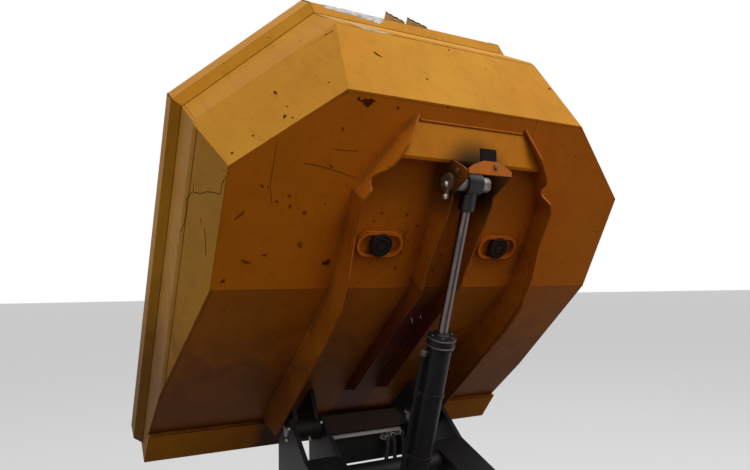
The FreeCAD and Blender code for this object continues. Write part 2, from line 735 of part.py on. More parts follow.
bottom_plate = box((lug_back + LUG_T, MEMBER_FRONT_X), inner_span, (low_back, low_back + LUG_T))
gusset = prism([(member_rear, member_top(member_rear) - drop),
                (GUSSET_END, member_top(GUSSET_END) - drop), (member_rear, TRANSOM_Z[0])],
               "y", (MEMBER_IN + MEMBER_OUT - GUSSET_T) / 2, (MEMBER_IN + MEMBER_OUT + GUSSET_T) / 2)
saddle = box((FRONT_AXLE_X - SADDLE_HALF, FRONT_AXLE_X + SADDLE_HALF),
             (MEMBER_IN + SADDLE_INSET, MEMBER_OUT - SADDLE_INSET),
             (TYRE_R, member_top(FRONT_AXLE_X + SADDLE_HALF) - drop))
saddle = bored(saddle, (FRONT_AXLE_X, 0, TYRE_R), (FRONT_AXLE_X, BIG, TYRE_R), AXLE_TUBE_R)
post_x = SKIP_TO_X + BUFFER_X
post = box((post_x - POST_HALF, post_x + POST_HALF), (BUFFER_Y - POST_HALF, BUFFER_Y + POST_HALF),
           (member_top(post_x) - drop / 2, SKIP_TO_Z - BUFFER_H - GAP))
transom = box((TRANSOM_X, member_rear), (-TRANSOM_HALF, TRANSOM_HALF), TRANSOM_Z)
plate_back, plate_front = CROSS_PLATE_X
flange_top = CROSS_PLATE_Z[1]
cross_plate = prism([(plate_back, CROSS_PLATE_Z[0]), (plate_back, flange_top - CROSS_T),
                     (plate_back - CROSS_FLANGE, flange_top - CROSS_T),
                     (plate_back - CROSS_FLANGE, flange_top), (plate_front, flange_top),
                     (plate_front, CROSS_PLATE_Z[0])], "y", -MEMBER_IN, MEMBER_IN)
ram_tube = cyl((TUBE_AT[0], -MEMBER_IN, TUBE_AT[1]), (TUBE_AT[0], MEMBER_IN, TUBE_AT[1]), TUBE_R)


def pivot_lug(z):
    """Flat lug from the transom back round the centre pivot."""
    plate = prism([(TRANSOM_X, 2 * PIVOT_LUG_R), (TRANSOM_X, -2 * PIVOT_LUG_R), (0, -PIVOT_LUG_R),
                   (0, PIVOT_LUG_R)], "z", *z)
    lug = fuse(plate, cyl((0, 0, z[0]), (0, 0, z[1]), PIVOT_LUG_R))
    return bored(lug, (0, 0, 0), (0, 0, BIG), PIVOT_R)


tube_x, tube_z = TUBE_AT
cheek_outline = [(RAM_BASE_X - CHEEK_EYE, RAM_BASE_Z), (RAM_BASE_X - CHEEK_EYE / 2,
                 RAM_BASE_Z + CHEEK_EYE), (tube_x - TUBE_R, tube_z), (tube_x, tube_z + TUBE_R),
                 (tube_x + TUBE_R, tube_z), (RAM_BASE_X + CHEEK_EYE, RAM_BASE_Z - CHEEK_EYE / 2),
                 (RAM_BASE_X + CHEEK_EYE / 2, RAM_BASE_Z - CHEEK_EYE),
                 (RAM_BASE_X - CHEEK_EYE / 2, RAM_BASE_Z - CHEEK_EYE)]
cheek_in = EYE_HALF + CHEEK_GAP
cheek = bored(prism(cheek_outline, "y", cheek_in, cheek_in + CHEEK_T), (RAM_BASE_X, 0, RAM_BASE_Z),
              (RAM_BASE_X, BIG, RAM_BASE_Z), RAM_PIN_R)
steer_x, steer_y = STEER_FRONT
steer_lugs = [box((steer_x - STEER_LUG_HALF, TRANSOM_X),
                  (steer_y - STEER_LUG_HALF, steer_y + STEER_LUG_HALF), (z, z + STEER_LUG_T))
              for z in (STEER_Z - STEER_EYE_HALF - STEER_LUG_GAP - STEER_LUG_T,
                        STEER_Z + STEER_EYE_HALF + STEER_LUG_GAP)]
one_side = [member, *lugs, end_plate, bottom_plate, gusset, saddle, post, lash_eye(*FRONT_LASH)]
add("front_frame", laid(transom, *one_side, *[mirror(s) for s in one_side], ram_tube, cross_plate,
                        cheek, mirror(cheek), pivot_lug(LUG_UP), pivot_lug(LUG_LOW), *steer_lugs))
hinge_pin = cyl((HINGE_X, MEMBER_IN - PIN_PROUD, HINGE_Z),
                (HINGE_X, MEMBER_OUT + PIN_PROUD, HINGE_Z), HINGE_PIN_R)
pivot_pin = cyl((0, 0, LUG_LOW[0] - PIN_PROUD), (0, 0, LUG_UP[1] + PIN_PROUD), PIVOT_R)
add("front_frame_pins", both(hinge_pin), pivot_pin,
    across(base, cheek_in + CHEEK_T + PIN_PROUD, RAM_PIN_R))
hoses = [bent_bar(run, HOSE_R, HOSE_BEND).cut(ram_tube) for run in HOSES]
add("hydraulic_hoses", *hoses)

# Steering ram between the two frames, on the left of the centre pivot
steer_base = V(*STEER_REAR, STEER_Z)
steer_eye = V(*STEER_FRONT, STEER_Z)
steer_dir = (steer_eye - steer_base).normalize()
steer_len = (steer_eye - steer_base).Length


def along_steer(distance):
    """A point on the steering ram's centre line, measured from its rear pin."""
    return tuple(steer_base + steer_dir * distance)


def upright_eye(centre, r):
    """Eye of a steering ram end, its bore upright."""
    return cyl((centre.x, centre.y, centre.z - STEER_EYE_HALF),
               (centre.x, centre.y, centre.z + STEER_EYE_HALF), r)


steer_tube = cyl(along_steer(STEER_TUBE_FROM), along_steer(STEER_BARREL_LEN), STEER_BARREL_R)
steer_neck = cyl(along_steer(0), along_steer(STEER_TUBE_FROM), STEER_ROD_R)
steer_barrel = fuse(steer_tube, steer_neck, upright_eye(steer_base, STEER_EYE_R))
steer_barrel = steer_barrel.cut(upright_eye(steer_base, STEER_PIN_R + FIT))
steer_barrel = bored(steer_barrel, along_steer(STEER_FLOOR), along_steer(STEER_BARREL_LEN),
                     STEER_ROD_R + FIT)
add("steer_ram_barrel", steer_barrel)
add("steer_ram_rod", fuse(cyl(along_steer(STEER_ROD_FROM), along_steer(steer_len), STEER_ROD_R),
                          upright_eye(steer_eye, STEER_EYE_R)))
steer_pin_half = STEER_EYE_HALF + STEER_LUG_T + PIN_PROUD
add("steer_ram_pin", cyl((*STEER_REAR, STEER_Z - steer_pin_half),
                         (*STEER_REAR, STEER_Z + steer_pin_half), STEER_PIN_R))


# Axles and wheels
def axle(x):
    """Driven axle: differential housing, tubes, end flanges and the spindles for the hubs."""
    housing = turned([(0, -DIFF_HALF), (DIFF_FACE_R, -DIFF_HALF), (DIFF_R, -DIFF_CROWN),
                      (DIFF_R, DIFF_CROWN), (DIFF_FACE_R, DIFF_HALF), (0, DIFF_HALF)],
                     (x, 0, TYRE_R), (0, 1, 0))
    inner = AXLE_END - END_FLANGE_LEN
    left = [cyl((x, DIFF_HALF, TYRE_R), (x, inner, TYRE_R), AXLE_TUBE_R),
            cyl((x, inner, TYRE_R), (x, AXLE_END, TYRE_R), END_FLANGE_R),
            cyl((x, AXLE_END, TYRE_R), (x, AXLE_END + SPINDLE_LEN, TYRE_R), SPINDLE_R)]
    return Part.makeCompound([housing, both(*left)])


add("front_axle", axle(FRONT_AXLE_X))
add("rear_axle", axle(REAR_AXLE_X))

half = TYRE_W / 2
bead_top = BEAD_R + FLANGE_H + 2 * SIDE_GAP
tyre_half = [(BEAD_R, half - BEAD_SEAT), (bead_top - SIDE_GAP, half - BEAD_SEAT),
             (bead_top, half - BEAD_SEAT + FLANGE_T + 3 * SIDE_GAP),
             (BEAD_R + SIDEWALL_MID, half + SIDEWALL_BULGE / 2), (TYRE_R - SHOULDER_DROP, half),
             (TYRE_R - TREAD_SHOULDER, half - SIDEWALL_BULGE / 2),
             (TYRE_R, half - TREAD_SHOULDER - SIDEWALL_BULGE / 2)]
tyre_outline = [(r, -y) for r, y in tyre_half] + tyre_half[::-1]
rim_r = BEAD_R - FIT
inner_r = rim_r - RIM_WALL
seat_y = half - BEAD_SEAT + FIT
lip_y = seat_y + FLANGE_T
disc_at = -DISC_INSET
rim_outline = [(rim_r + FLANGE_H, -lip_y), (rim_r + FLANGE_H, -seat_y), (rim_r, -seat_y),
               (rim_r, seat_y), (rim_r + FLANGE_H, seat_y), (rim_r + FLANGE_H, lip_y),
               (inner_r, lip_y), (inner_r, disc_at + DISC_T), (BORE_R, disc_at + DISC_T),
               (BORE_R, disc_at), (inner_r, disc_at), (inner_r, -lip_y)]
for end, x in (("front", FRONT_AXLE_X), ("rear", REAR_AXLE_X)):
    for side, sign in (("left", 1), ("right", -1)):
        centre = (x, sign * TRACK_HALF, TYRE_R)
        outward = (0, sign, 0)
        rim_solid = turned(rim_outline, centre, outward)
        for i in range(DISC_HOLES):
            turn = 2 * math.pi * i / DISC_HOLES
            hole_x = x + DISC_HOLE_AT * math.cos(turn)
            hole_z = TYRE_R + DISC_HOLE_AT * math.sin(turn)
            rim_solid = bored(rim_solid, (hole_x, 0, hole_z), (hole_x, sign * BIG, hole_z),
                              DISC_HOLE_R)
        hub_in = AXLE_END + SIDE_GAP - TRACK_HALF
        hub = turned([(0, hub_in), (HUB_R, hub_in), (HUB_R, disc_at), (BORE_R - FIT, disc_at),
                      (BORE_R - FIT, disc_at + HUB_OUT), (0, disc_at + HUB_OUT)], centre, outward)
        hub = bored(hub, (x, sign * AXLE_END, TYRE_R),
                    (x, sign * (AXLE_END + SPINDLE_LEN + 2 * SIDE_GAP), TYRE_R), SPINDLE_R + FIT)
        add(f"tyre_{end}_{side}", turned(tyre_outline, centre, outward))
        add(f"wheel_{end}_{side}", rim_solid, hub)

# Rear frame
rear_back = REAR_TRANSOM_X - TRANSOM_T
rail = box((REAR_END_X, rear_back), (RAIL_IN, RAIL_OUT), RAIL_Z)
(window_y, window_z) = STEER_WINDOW
side_t = REAR_TRANSOM_HALF
rear_transom = [box((rear_back, REAR_TRANSOM_X), (window_y[1], side_t), TRANSOM_Z),
                box((rear_back, REAR_TRANSOM_X), (-side_t, window_y[0]), TRANSOM_Z),
                box((rear_back, REAR_TRANSOM_X), window_y, (window_z[1], TRANSOM_Z[1])),
                box((rear_back, REAR_TRANSOM_X), window_y, (TRANSOM_Z[0], window_z[0]))]
knuckle_z = (LUG_LOW[1] + SIDE_GAP, LUG_UP[0] - SIDE_GAP)
knuckle = fuse(prism([(REAR_TRANSOM_X, PIVOT_LUG_R), (REAR_TRANSOM_X, -PIVOT_LUG_R),
                      (0, -KNUCKLE_R), (0, KNUCKLE_R)], "z", *knuckle_z),
               cyl((0, 0, knuckle_z[0]), (0, 0, knuckle_z[1]), KNUCKLE_R))
knuckle = bored(knuckle, (0, 0, 0), (0, 0, BIG), PIVOT_R + FIT)
rear_cross = [box((x - REAR_CROSS_HALF, x + REAR_CROSS_HALF), (-RAIL_IN, RAIL_IN), REAR_CROSS_Z)
              for x in REAR_CROSS_X]
rear_saddle = box((REAR_AXLE_X - SADDLE_HALF, REAR_AXLE_X + SADDLE_HALF), (RAIL_IN, RAIL_OUT),
                  (TYRE_R, RAIL_Z[0]))
rear_saddle = bored(rear_saddle, (REAR_AXLE_X, 0, TYRE_R), (REAR_AXLE_X, BIG, TYRE_R), AXLE_TUBE_R)
anchor_x, anchor_y = STEER_REAR
anchor_span = (anchor_x - ANCHOR_HALF, anchor_x + ANCHOR_HALF)
anchor = [box(anchor_span, (anchor_y - ANCHOR_HALF, RAIL_IN), (z, z + STEER_LUG_T))
          for z in (STEER_Z - STEER_EYE_HALF - SIDE_GAP - STEER_LUG_T,
                    STEER_Z + STEER_EYE_HALF + SIDE_GAP)]
anchor = [bored(plate, (*STEER_REAR, 0), (*STEER_REAR, BIG), STEER_PIN_R) for plate in anchor]
hanger = box(anchor_span, (RAIL_IN, RAIL_OUT),
             (STEER_Z - STEER_EYE_HALF - SIDE_GAP - STEER_LUG_T, RAIL_Z[0]))
add("rear_frame", laid(rail, mirror(rail), *rear_transom, knuckle, *rear_cross, rear_saddle,
                       mirror(rear_saddle), *anchor, hanger))
bumper_back = REAR_END_X - BUMPER_T
bumper = prism([(REAR_END_X, -BUMPER_HALF), (REAR_END_X, BUMPER_HALF),
                (bumper_back + BUMPER_CHAMFER, BUMPER_HALF),
                (bumper_back, BUMPER_HALF - BUMPER_CHAMFER),
                (bumper_back, BUMPER_CHAMFER - BUMPER_HALF),
                (bumper_back + BUMPER_CHAMFER, -BUMPER_HALF)], "z", *BUMPER_Z)
rear_eye = lash_eye(*REAR_LASH)
add("rear_bumper", laid(bumper, rear_eye, mirror(rear_eye)))

# Tow hitch with its drop-pin hole
hitch_low = HITCH_Z - HITCH_OPEN / 2 - HITCH_PLATE
hitch_high = HITCH_Z + HITCH_OPEN / 2
hitch_end = bumper_back - HITCH_REACH
hitch_x = hitch_end + HITCH_PIN_BACK
jaw = [box((hitch_end, bumper_back), (-HITCH_HALF, HITCH_HALF), (z, z + HITCH_PLATE))
       for z in (hitch_low, hitch_high)]
jaw.append(box((bumper_back - HITCH_PLATE, bumper_back), (-HITCH_HALF, HITCH_HALF),
               (hitch_low + HITCH_PLATE, hitch_high)))
add("tow_hitch", *[bored(plate, (hitch_x, 0, 0), (hitch_x, 0, BIG), HITCH_PIN_R) for plate in jaw])

# Driver's place
floor_top = RAIL_Z[1] + FLOOR_T
floor_plate = box(FLOOR_X, (-FLOOR_HALF_W, FLOOR_HALF_W), (RAIL_Z[1], floor_top))
kicks = both(box(FLOOR_X, (FLOOR_HALF_W - FLOOR_T, FLOOR_HALF_W), (floor_top, floor_top + KICK_H)))
add("floor_plate", floor_plate, kicks)
cowl_in = COWL_X[0] + COWL_FALL
add("dash_cowl", prism([(COWL_X[1], floor_top), (COWL_X[0], floor_top), (COWL_X[0], COWL_TOP),
                        (cowl_in, COWL_TOP), (COWL_X[1], COWL_TOP - COWL_FALL)], "y",
                       -COWL_HALF, COWL_HALF))
column_foot = V(COWL_X[0], 0, COLUMN_FOOT_Z)
column_dir = unit(COLUMN_LEAN[0], 0, COLUMN_LEAN[1])
column_top = column_foot + column_dir * COLUMN_LEN
add("steering_column", cyl(tuple(column_foot), tuple(column_top), COLUMN_R).cut(nodes["dash_cowl"]))
wheel_centre = column_top + column_dir * WHEEL_RISE
spokes = [cyl(tuple(wheel_centre), tuple(wheel_centre + d * WHEEL_RING_R), SPOKE_R)
          for d in (V(0, 1, 0), V(0, -1, 0), column_dir.cross(V(0, 1, 0)))]
wheel_boss = cyl(tuple(column_top + column_dir), tuple(wheel_centre + column_dir * WHEEL_BOSS_RISE),
                 WHEEL_BOSS_R)
add("steering_wheel", fuse(Part.makeTorus(WHEEL_RING_R, WHEEL_GRIP_R, wheel_centre, column_dir),
                           wheel_boss, *spokes))
pedals = [prism([(PEDAL_X, floor_top), (PEDAL_X + PEDAL_RUN, floor_top),
                  (PEDAL_X + PEDAL_RUN, floor_top + PEDAL_RISE)], "y",
                 y - PEDAL_HALF, y + PEDAL_HALF) for y in PEDAL_Y]
console_x, console_y, console_top = CONSOLE
console = box(console_x, console_y, (floor_top, console_top))
lever_x = sum(console_x) / 2
levers = []
for y in LEVER_Y:
    levers.append(cyl((lever_x, y, console_top), (lever_x + LEVER_LEAN, y, console_top + LEVER_LEN),
                      LEVER_R))
    levers.append(Part.makeSphere(LEVER_KNOB_R, V(lever_x + LEVER_LEAN, y, console_top + LEVER_LEN)))
add("driver_controls", laid(console, fuse(*levers[:2]), fuse(*levers[2:]), *pedals))

add("seat_base", box(SEAT_X, (-SEAT_HALF, SEAT_HALF), (RAIL_Z[1], SEAT_Z)))
cushion_y = SEAT_HALF - SEAT_INSET
cushion_top = SEAT_Z + CUSHION_H
cushion = box((SEAT_X[0] + 5 * SEAT_INSET, SEAT_X[1] + SEAT_INSET), (-cushion_y, cushion_y),
              (SEAT_Z, cushion_top))
cushion = cushion.makeFillet(CUSHION_ROUND, [e for e in cushion.Edges
                                             if e.BoundBox.ZMin > SEAT_Z + GAP])
add("seat_cushion", cushion)
back_x = SEAT_X[0] + 4 * SEAT_INSET
back_top = SEAT_Z + BACK_TOP
backrest = prism([(back_x, cushion_top), (back_x + BACK_T, cushion_top),
                  (back_x + BACK_T - BACK_LEAN, back_top), (back_x - BACK_LEAN, back_top)],
                 "y", -cushion_y, cushion_y)
backrest = backrest.makeFillet(CUSHION_ROUND, [e for e in backrest.Edges
                                               if e.BoundBox.ZMax > cushion_top + GAP])
add("seat_back", backrest)

# Tanks under the floor, filler caps and lamps
tank = box(TANK_X, (RAIL_OUT, TANK_OUT), (TANK_FOOT, RAIL_Z[1]))
tank = tank.makeFillet(TANK_ROUND, [e for e in tank.Edges
                                    if e.BoundBox.YMin > TANK_OUT - GAP
                                    and e.BoundBox.XLength < GAP])
add("fuel_tank", tank)
add("hydraulic_tank", mirror(tank))
lamp_x, lamp_y, lamp_z = LAMP_AT
lamp_post = box((lamp_x - LAMP_POST, lamp_x), (lamp_y - LAMP_POST / 2, lamp_y + LAMP_POST / 2),
                (floor_top, lamp_z - LAMP_R + GAP))
lamp = turned([(0, -LAMP_LEN), (LAMP_R / 2, -LAMP_LEN), (LAMP_R, -LAMP_LEN / 2), (LAMP_R, 0), (0, 0)],
              (lamp_x + LAMP_LEN / 2, lamp_y, lamp_z), (1, 0, 0))
rear_lamp_y, rear_lamp_z, rear_lamp_t = REAR_LAMP
rear_lamp = box((bumper_back - rear_lamp_t, bumper_back), rear_lamp_y, rear_lamp_z)
add("lamps", both(*laid(lamp, lamp_post).Solids, rear_lamp))

# Engine under its bonnet
engine = [box(ENGINE_X, (-ENGINE_HALF, ENGINE_HALF), ENGINE_Z)]
for x in FOOT_X:
    foot = box((x, x + FOOT_LEN), (ENGINE_HALF, RAIL_IN), FOOT_Z)
    engine += [foot, mirror(foot)]
add("engine", *engine)


def housing_block(inset, foot):
    """Outside of the engine housing moved in by inset: side outline crossed with a front one."""
    rise, run = BONNET_SLANT
    side_view = prism([(BONNET_X[1] - inset, foot), (BONNET_X[0] + inset, foot),
                       (BONNET_X[0] + inset, BONNET_TOP - run), (BONNET_X[0] + rise, BONNET_TOP - inset),
                       (BONNET_X[1] - inset, BONNET_TOP - inset)], "y", -BONNET_HALF, BONNET_HALF)
    y = BONNET_HALF - inset
    top = BONNET_TOP - inset
    chamfer = BONNET_CHAMFER - inset / 2
    front_view = prism([(-y, foot), (y, foot), (y, top - chamfer), (y - chamfer, top),
                        (chamfer - y, top), (-y, top - chamfer)], "x", *BONNET_X)
    return side_view.common(front_view)


panel_foot = RAIL_Z[1]
housing = housing_block(0, panel_foot).cut(housing_block(SHEET_T, panel_foot - BONNET_CHAMFER))
housing_in = BONNET_HALF - SHEET_T
wall_x = BONNET_X[1] - SHEET_T
side_cuts = [(V(0, housing_in, 0), V(0, 1, 0)), (V(0, -housing_in, 0), V(0, -1, 0))]
lid_pin = (wall_x - LID_KNUCKLE_R - SIDE_GAP, BONNET_TOP - LID_KNUCKLE_R)
lower = housing.common(box(BONNET_X, (-BIG, BIG), (panel_foot, BONNET_SPLIT - GAP / 2)))
upper = housing.common(box((BONNET_X[0], lid_pin[0]), (-BIG, BIG), (BONNET_SPLIT + GAP / 2, BIG)))
rear_cut = (V(BONNET_X[0] + SHEET_T, 0, 0), V(-1, 0, 0))
bulkhead = box((wall_x, BONNET_X[1]), (-housing_in + GAP, housing_in - GAP),
               (BONNET_SPLIT - GAP / 2, BONNET_TOP - BONNET_CHAMFER - GAP))
bulkhead_top = box((wall_x, BONNET_X[1]), (-LID_KNUCKLES[1] - LID_STAY_W - SIDE_GAP,
                                           LID_KNUCKLES[1] + LID_STAY_W + SIDE_GAP),
                   (BONNET_TOP - BONNET_CHAMFER - GAP, BONNET_TOP - SHEET_T - GAP))


def hinge_bar(low, high, r):
    """Round bar on the lid's hinge line between two widths."""
    return cyl((lid_pin[0], low, lid_pin[1]), (lid_pin[0], high, lid_pin[1]), r)


plates = split(upper, side_cuts + [rear_cut]).Solids
knuckles = [hinge_bar(low, high, LID_KNUCKLE_R) for low, high in
            (LID_KNUCKLES, (-LID_KNUCKLES[1], -LID_KNUCKLES[0]))]
knuckles = [bar.cut(hinge_bar(-BONNET_HALF, BONNET_HALF, LID_PIN_R + FIT)) for bar in knuckles]
lid_bore = hinge_bar(-BONNET_HALF, BONNET_HALF, LID_PIN_R + FIT)
lid = laid(*knuckles, *[plate.cut(lid_bore) for plate in plates])
add("bonnet", lid)
stay_y = (-LID_KNUCKLES[1] - LID_STAY_W - SIDE_GAP, -LID_KNUCKLES[0] + SIDE_GAP,
          LID_KNUCKLES[0] - LID_STAY_W - SIDE_GAP, LID_KNUCKLES[1] + SIDE_GAP)
stays = []
for y in stay_y:
    arm = box((lid_pin[0], wall_x), (y, y + LID_STAY_W), (lid_pin[1] - STAY_H, lid_pin[1]))
    stays.append(arm.fuse(hinge_bar(y, y + LID_STAY_W, LID_PIN_R)))
bar = hinge_bar(stay_y[0], stay_y[-1] + LID_STAY_W, LID_PIN_R)
add("engine_side_panels", laid(*split(lower, side_cuts + [rear_cut]).Solids, bulkhead,
                               bulkhead_top, bar, *stays))
exhaust_x, exhaust_y = EXHAUST_AT
exhaust = cyl((exhaust_x, exhaust_y, EXHAUST_Z[0]), (exhaust_x, exhaust_y, EXHAUST_Z[1]), EXHAUST_R)
arm = box((exhaust_x - EXHAUST_R, exhaust_x + EXHAUST_R), (exhaust_y, -BONNET_HALF),
          (EXHAUST_FLANGE_Z, EXHAUST_FLANGE_Z + EXHAUST_R))
add("exhaust_pipe", laid(exhaust, arm))

# Mudguards over the rear wheels: flat lengths round an arc, and an inner web down to the frame
guard_r = TYRE_R + GUARD_GAP


def on_arc(r, angle):
    """A point round the rear axle, as (x, z)."""
    turn = math.radians(angle)
    return REAR_AXLE_X + r * math.cos(turn), TYRE_R + r * math.sin(turn)


guard = [prism([on_arc(guard_r, a), on_arc(guard_r, b), on_arc(guard_r - SHEET_T, b),
                on_arc(guard_r - SHEET_T, a)], "y", GUARD_Y[0] + SHEET_T, GUARD_Y[1])
         for a, b in zip(GUARD_ANGLES, GUARD_ANGLES[1:])]
web = prism([on_arc(guard_r, a) for a in GUARD_ANGLES], "y", GUARD_Y[0], GUARD_Y[0] + SHEET_T)
web = web.cut(box((-BIG, 0), (0, BIG), (0, RAIL_Z[1])))
add("mudguard_left", *guard, web)
add("mudguard_right", *[mirror(piece) for piece in (*guard, web)])

# Roll-over bar, folding back at its hinge
rops_span = (ROPS_X - ROPS_POST_HALF, ROPS_X + ROPS_POST_HALF)
foot = box((ROPS_X - ROPS_FOOT[0], ROPS_X + ROPS_FOOT[0]), (RAIL_OUT - ROPS_FOOT_LAP, GUARD_Y[0]),
           (RAIL_Z[1], RAIL_Z[1] + ROPS_FOOT[1]))
post_low = RAIL_Z[1] + ROPS_FOOT[1]
post_high = ROPS_HINGE_Z - ROPS_EAR_DROP
post = box(rops_span, ROPS_POST_Y, (post_low, post_high))
rops_ears = []
ear_in = ROPS_HALF - ROPS_TUBE_R - GAP - ROPS_EAR_T
ear_out = ROPS_HALF + ROPS_TUBE_R + GAP
cap_plate = box(rops_span, (ear_in, ear_out + ROPS_EAR_T), (post_high, post_high + ROPS_EAR_T))
for y in (ear_in, ear_out):
    ear = box(rops_span, (y, y + ROPS_EAR_T),
              (post_high + ROPS_EAR_T, ROPS_HINGE_Z + ROPS_EAR_RISE))
    rops_ears.append(bored(ear, (ROPS_X, 0, ROPS_HINGE_Z), (ROPS_X, BIG, ROPS_HINGE_Z), ROPS_PIN_R))
left_post = [foot, post, cap_plate, *rops_ears]
add("rops_post_left", *left_post)
add("rops_post_right", *[mirror(piece) for piece in left_post])
add("rops_hinge_pins", both(cyl((ROPS_X, ear_in - PIN_PROUD / 2, ROPS_HINGE_Z),
                                (ROPS_X, ear_out + ROPS_EAR_T + PIN_PROUD / 2, ROPS_HINGE_Z),
                                ROPS_PIN_R)))
hoop = bent_bar([(ROPS_X, -ROPS_HALF, ROPS_HINGE_Z - ROPS_TAIL), (ROPS_X, -ROPS_HALF, ROPS_TOP),
                 (ROPS_X, ROPS_HALF, ROPS_TOP), (ROPS_X, ROPS_HALF, ROPS_HINGE_Z - ROPS_TAIL)],
                ROPS_TUBE_R, ROPS_BEND)
add("rops_hoop", bored(hoop, (ROPS_X, -BIG, ROPS_HINGE_Z), (ROPS_X, BIG, ROPS_HINGE_Z),
                       ROPS_PIN_R + FIT))

# Move everything so that the origin is under the middle of the machine, then write the files
whole_box = FreeCAD.BoundBox()
for shape in nodes.values():
    whole_box.add(shape.BoundBox)
shift = V(-(whole_box.XMin + whole_box.XMax) / 2, 0, 0)
for name, shape in nodes.items():
    shape.translate(shift)
    shape.exportStep(f"parts/{name}.step")
print("nodes", len(nodes), "shift", round(shift.x, 3), "low", round(whole_box.ZMin, 3))
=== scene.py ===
"""Looks of an articulated site dumper that stands with its skip raised.

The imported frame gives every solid. This script gives each of them its finish, adds the trim that
is too fine for the solids, such as weld beads, tread, louvres and fittings, and sets up the
studio with the viewpoint of the photograph.
"""

import itertools
import json
import logging
import math
from dataclasses import dataclass, field
from enum import Enum
from typing import ClassVar, Iterable, Sequence

import bmesh
import bpy
from mathutils import Matrix, Vector

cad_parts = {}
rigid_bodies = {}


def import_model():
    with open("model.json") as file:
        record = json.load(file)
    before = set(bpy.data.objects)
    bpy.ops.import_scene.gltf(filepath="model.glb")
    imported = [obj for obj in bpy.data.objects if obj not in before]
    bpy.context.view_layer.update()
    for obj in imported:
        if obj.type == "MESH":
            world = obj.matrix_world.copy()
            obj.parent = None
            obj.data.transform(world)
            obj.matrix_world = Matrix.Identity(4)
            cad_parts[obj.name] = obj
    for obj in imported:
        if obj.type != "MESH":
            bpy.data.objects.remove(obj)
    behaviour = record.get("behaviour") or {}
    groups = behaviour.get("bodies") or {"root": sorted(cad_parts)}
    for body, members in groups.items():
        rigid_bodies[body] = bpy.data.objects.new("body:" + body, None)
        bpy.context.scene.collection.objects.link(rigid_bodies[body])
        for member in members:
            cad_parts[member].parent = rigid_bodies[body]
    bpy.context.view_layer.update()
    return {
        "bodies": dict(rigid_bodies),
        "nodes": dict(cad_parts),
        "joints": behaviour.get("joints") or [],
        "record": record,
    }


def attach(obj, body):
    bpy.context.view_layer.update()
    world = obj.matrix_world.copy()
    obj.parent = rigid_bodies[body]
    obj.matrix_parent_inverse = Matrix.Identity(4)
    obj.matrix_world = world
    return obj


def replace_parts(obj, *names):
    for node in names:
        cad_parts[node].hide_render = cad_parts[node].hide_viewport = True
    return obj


LOG = logging.getLogger("dumper")
Socket = bpy.types.NodeSocket
Shape = bmesh.types.BMesh
Pair = tuple[float, float]
Triple = tuple[float, float, float]
Colour = Triple
Placed = tuple[Shape, Matrix]

# Places that the solids give, in metres. The machine's own X starts at the centre pivot, and SHIFT
# moves it to the row frame.
SHIFT = -0.17254
SKIP_HINGE = Vector((1.780 + SHIFT, 0.0, 1.061))
SKIP_HINGE_OWN = Vector((1.647, 0.0, 0.156))
TIP_ANGLE = math.radians(60.8)
FLOOR_FOLD_X = 0.894
PANEL_SLOPE = 0.375 / 0.892
AXLES = {"front": 0.980, "rear": -0.980}
AXLE_Z = 0.430
TRACK_HALF = 0.750
RAM_BASE = Vector((1.470 + SHIFT, 0.0, 0.726))
RAM_EYE_OWN = Vector((0.450, 0.0, -0.074))

# From the level skip's own frame to where it is with the skip raised
RAISED = (Matrix.Translation(SKIP_HINGE) @ Matrix.Rotation(TIP_ANGLE, 4, "Y")
          @ Matrix.Translation(-SKIP_HINGE_OWN))
# A shape as it is, and its mirror image on the machine's other side
BOTH = (Matrix.Identity(4), Matrix.Scale(-1, 4, (0, 1, 0)))
SIDES = (-1, 1)
UP, DOWN, AHEAD, BACK = (0, 0, 1), (0, 0, -1), (1, 0, 0), (-1, 0, 0)
# Points closer than this, in metres, are one
MERGE = 1e-5

# Dirt and wear that several finishes share; the oil and grease tones are partly painted shade.
OIL_AND_SHADE = (0.050, 0.007, 0.006)
GREASE_AND_SHADE = (0.012, 0.008, 0.006)
RED_WASH = (0.115, 0.006, 0.014)
SCUFFED = (0.115, 0.060, 0.034)
SCOURED = (0.20, 0.155, 0.12)
LIGHT_RUST = (0.16, 0.06, 0.03)


def row(x: float, y: float, z: float) -> Vector:
    """A point of the machine in the row frame; x starts at the centre pivot."""
    return Vector((x + SHIFT, y, z))


def at(x: float, y: float, z: float) -> Matrix:
    """A placement at a point of the machine, unturned."""
    return Matrix.Translation(row(x, y, z))


def around(count: int, radius: float, start: float = 0.0) -> list[Triple]:
    """Points evenly round a circle, each with its turn in radians."""
    turns = [math.tau * step / count + start for step in range(count)]
    return [(radius * math.cos(turn), radius * math.sin(turn), turn) for turn in turns]


class Body(Enum):
    """The moving bodies that pieces ride on."""

    REAR = "rear_chassis"
    FRONT = "front_chassis"
    SKIP = "skip"
    RAM_BARREL = "tip_barrel"
    RAM_ROD = "tip_rod"
    STEERING_WHEEL = "steering_wheel"
    LID = "bonnet"
    ROLL_BAR = "rops"
    WHEEL_FRONT_LEFT = "wheel_front_left"
    WHEEL_FRONT_RIGHT = "wheel_front_right"
    WHEEL_REAR_LEFT = "wheel_rear_left"
    WHEEL_REAR_RIGHT = "wheel_rear_right"


class Space(Enum):
    """Frames in which a finish lays out its pattern."""

    ROW = "row"
    SKIP = "skip"


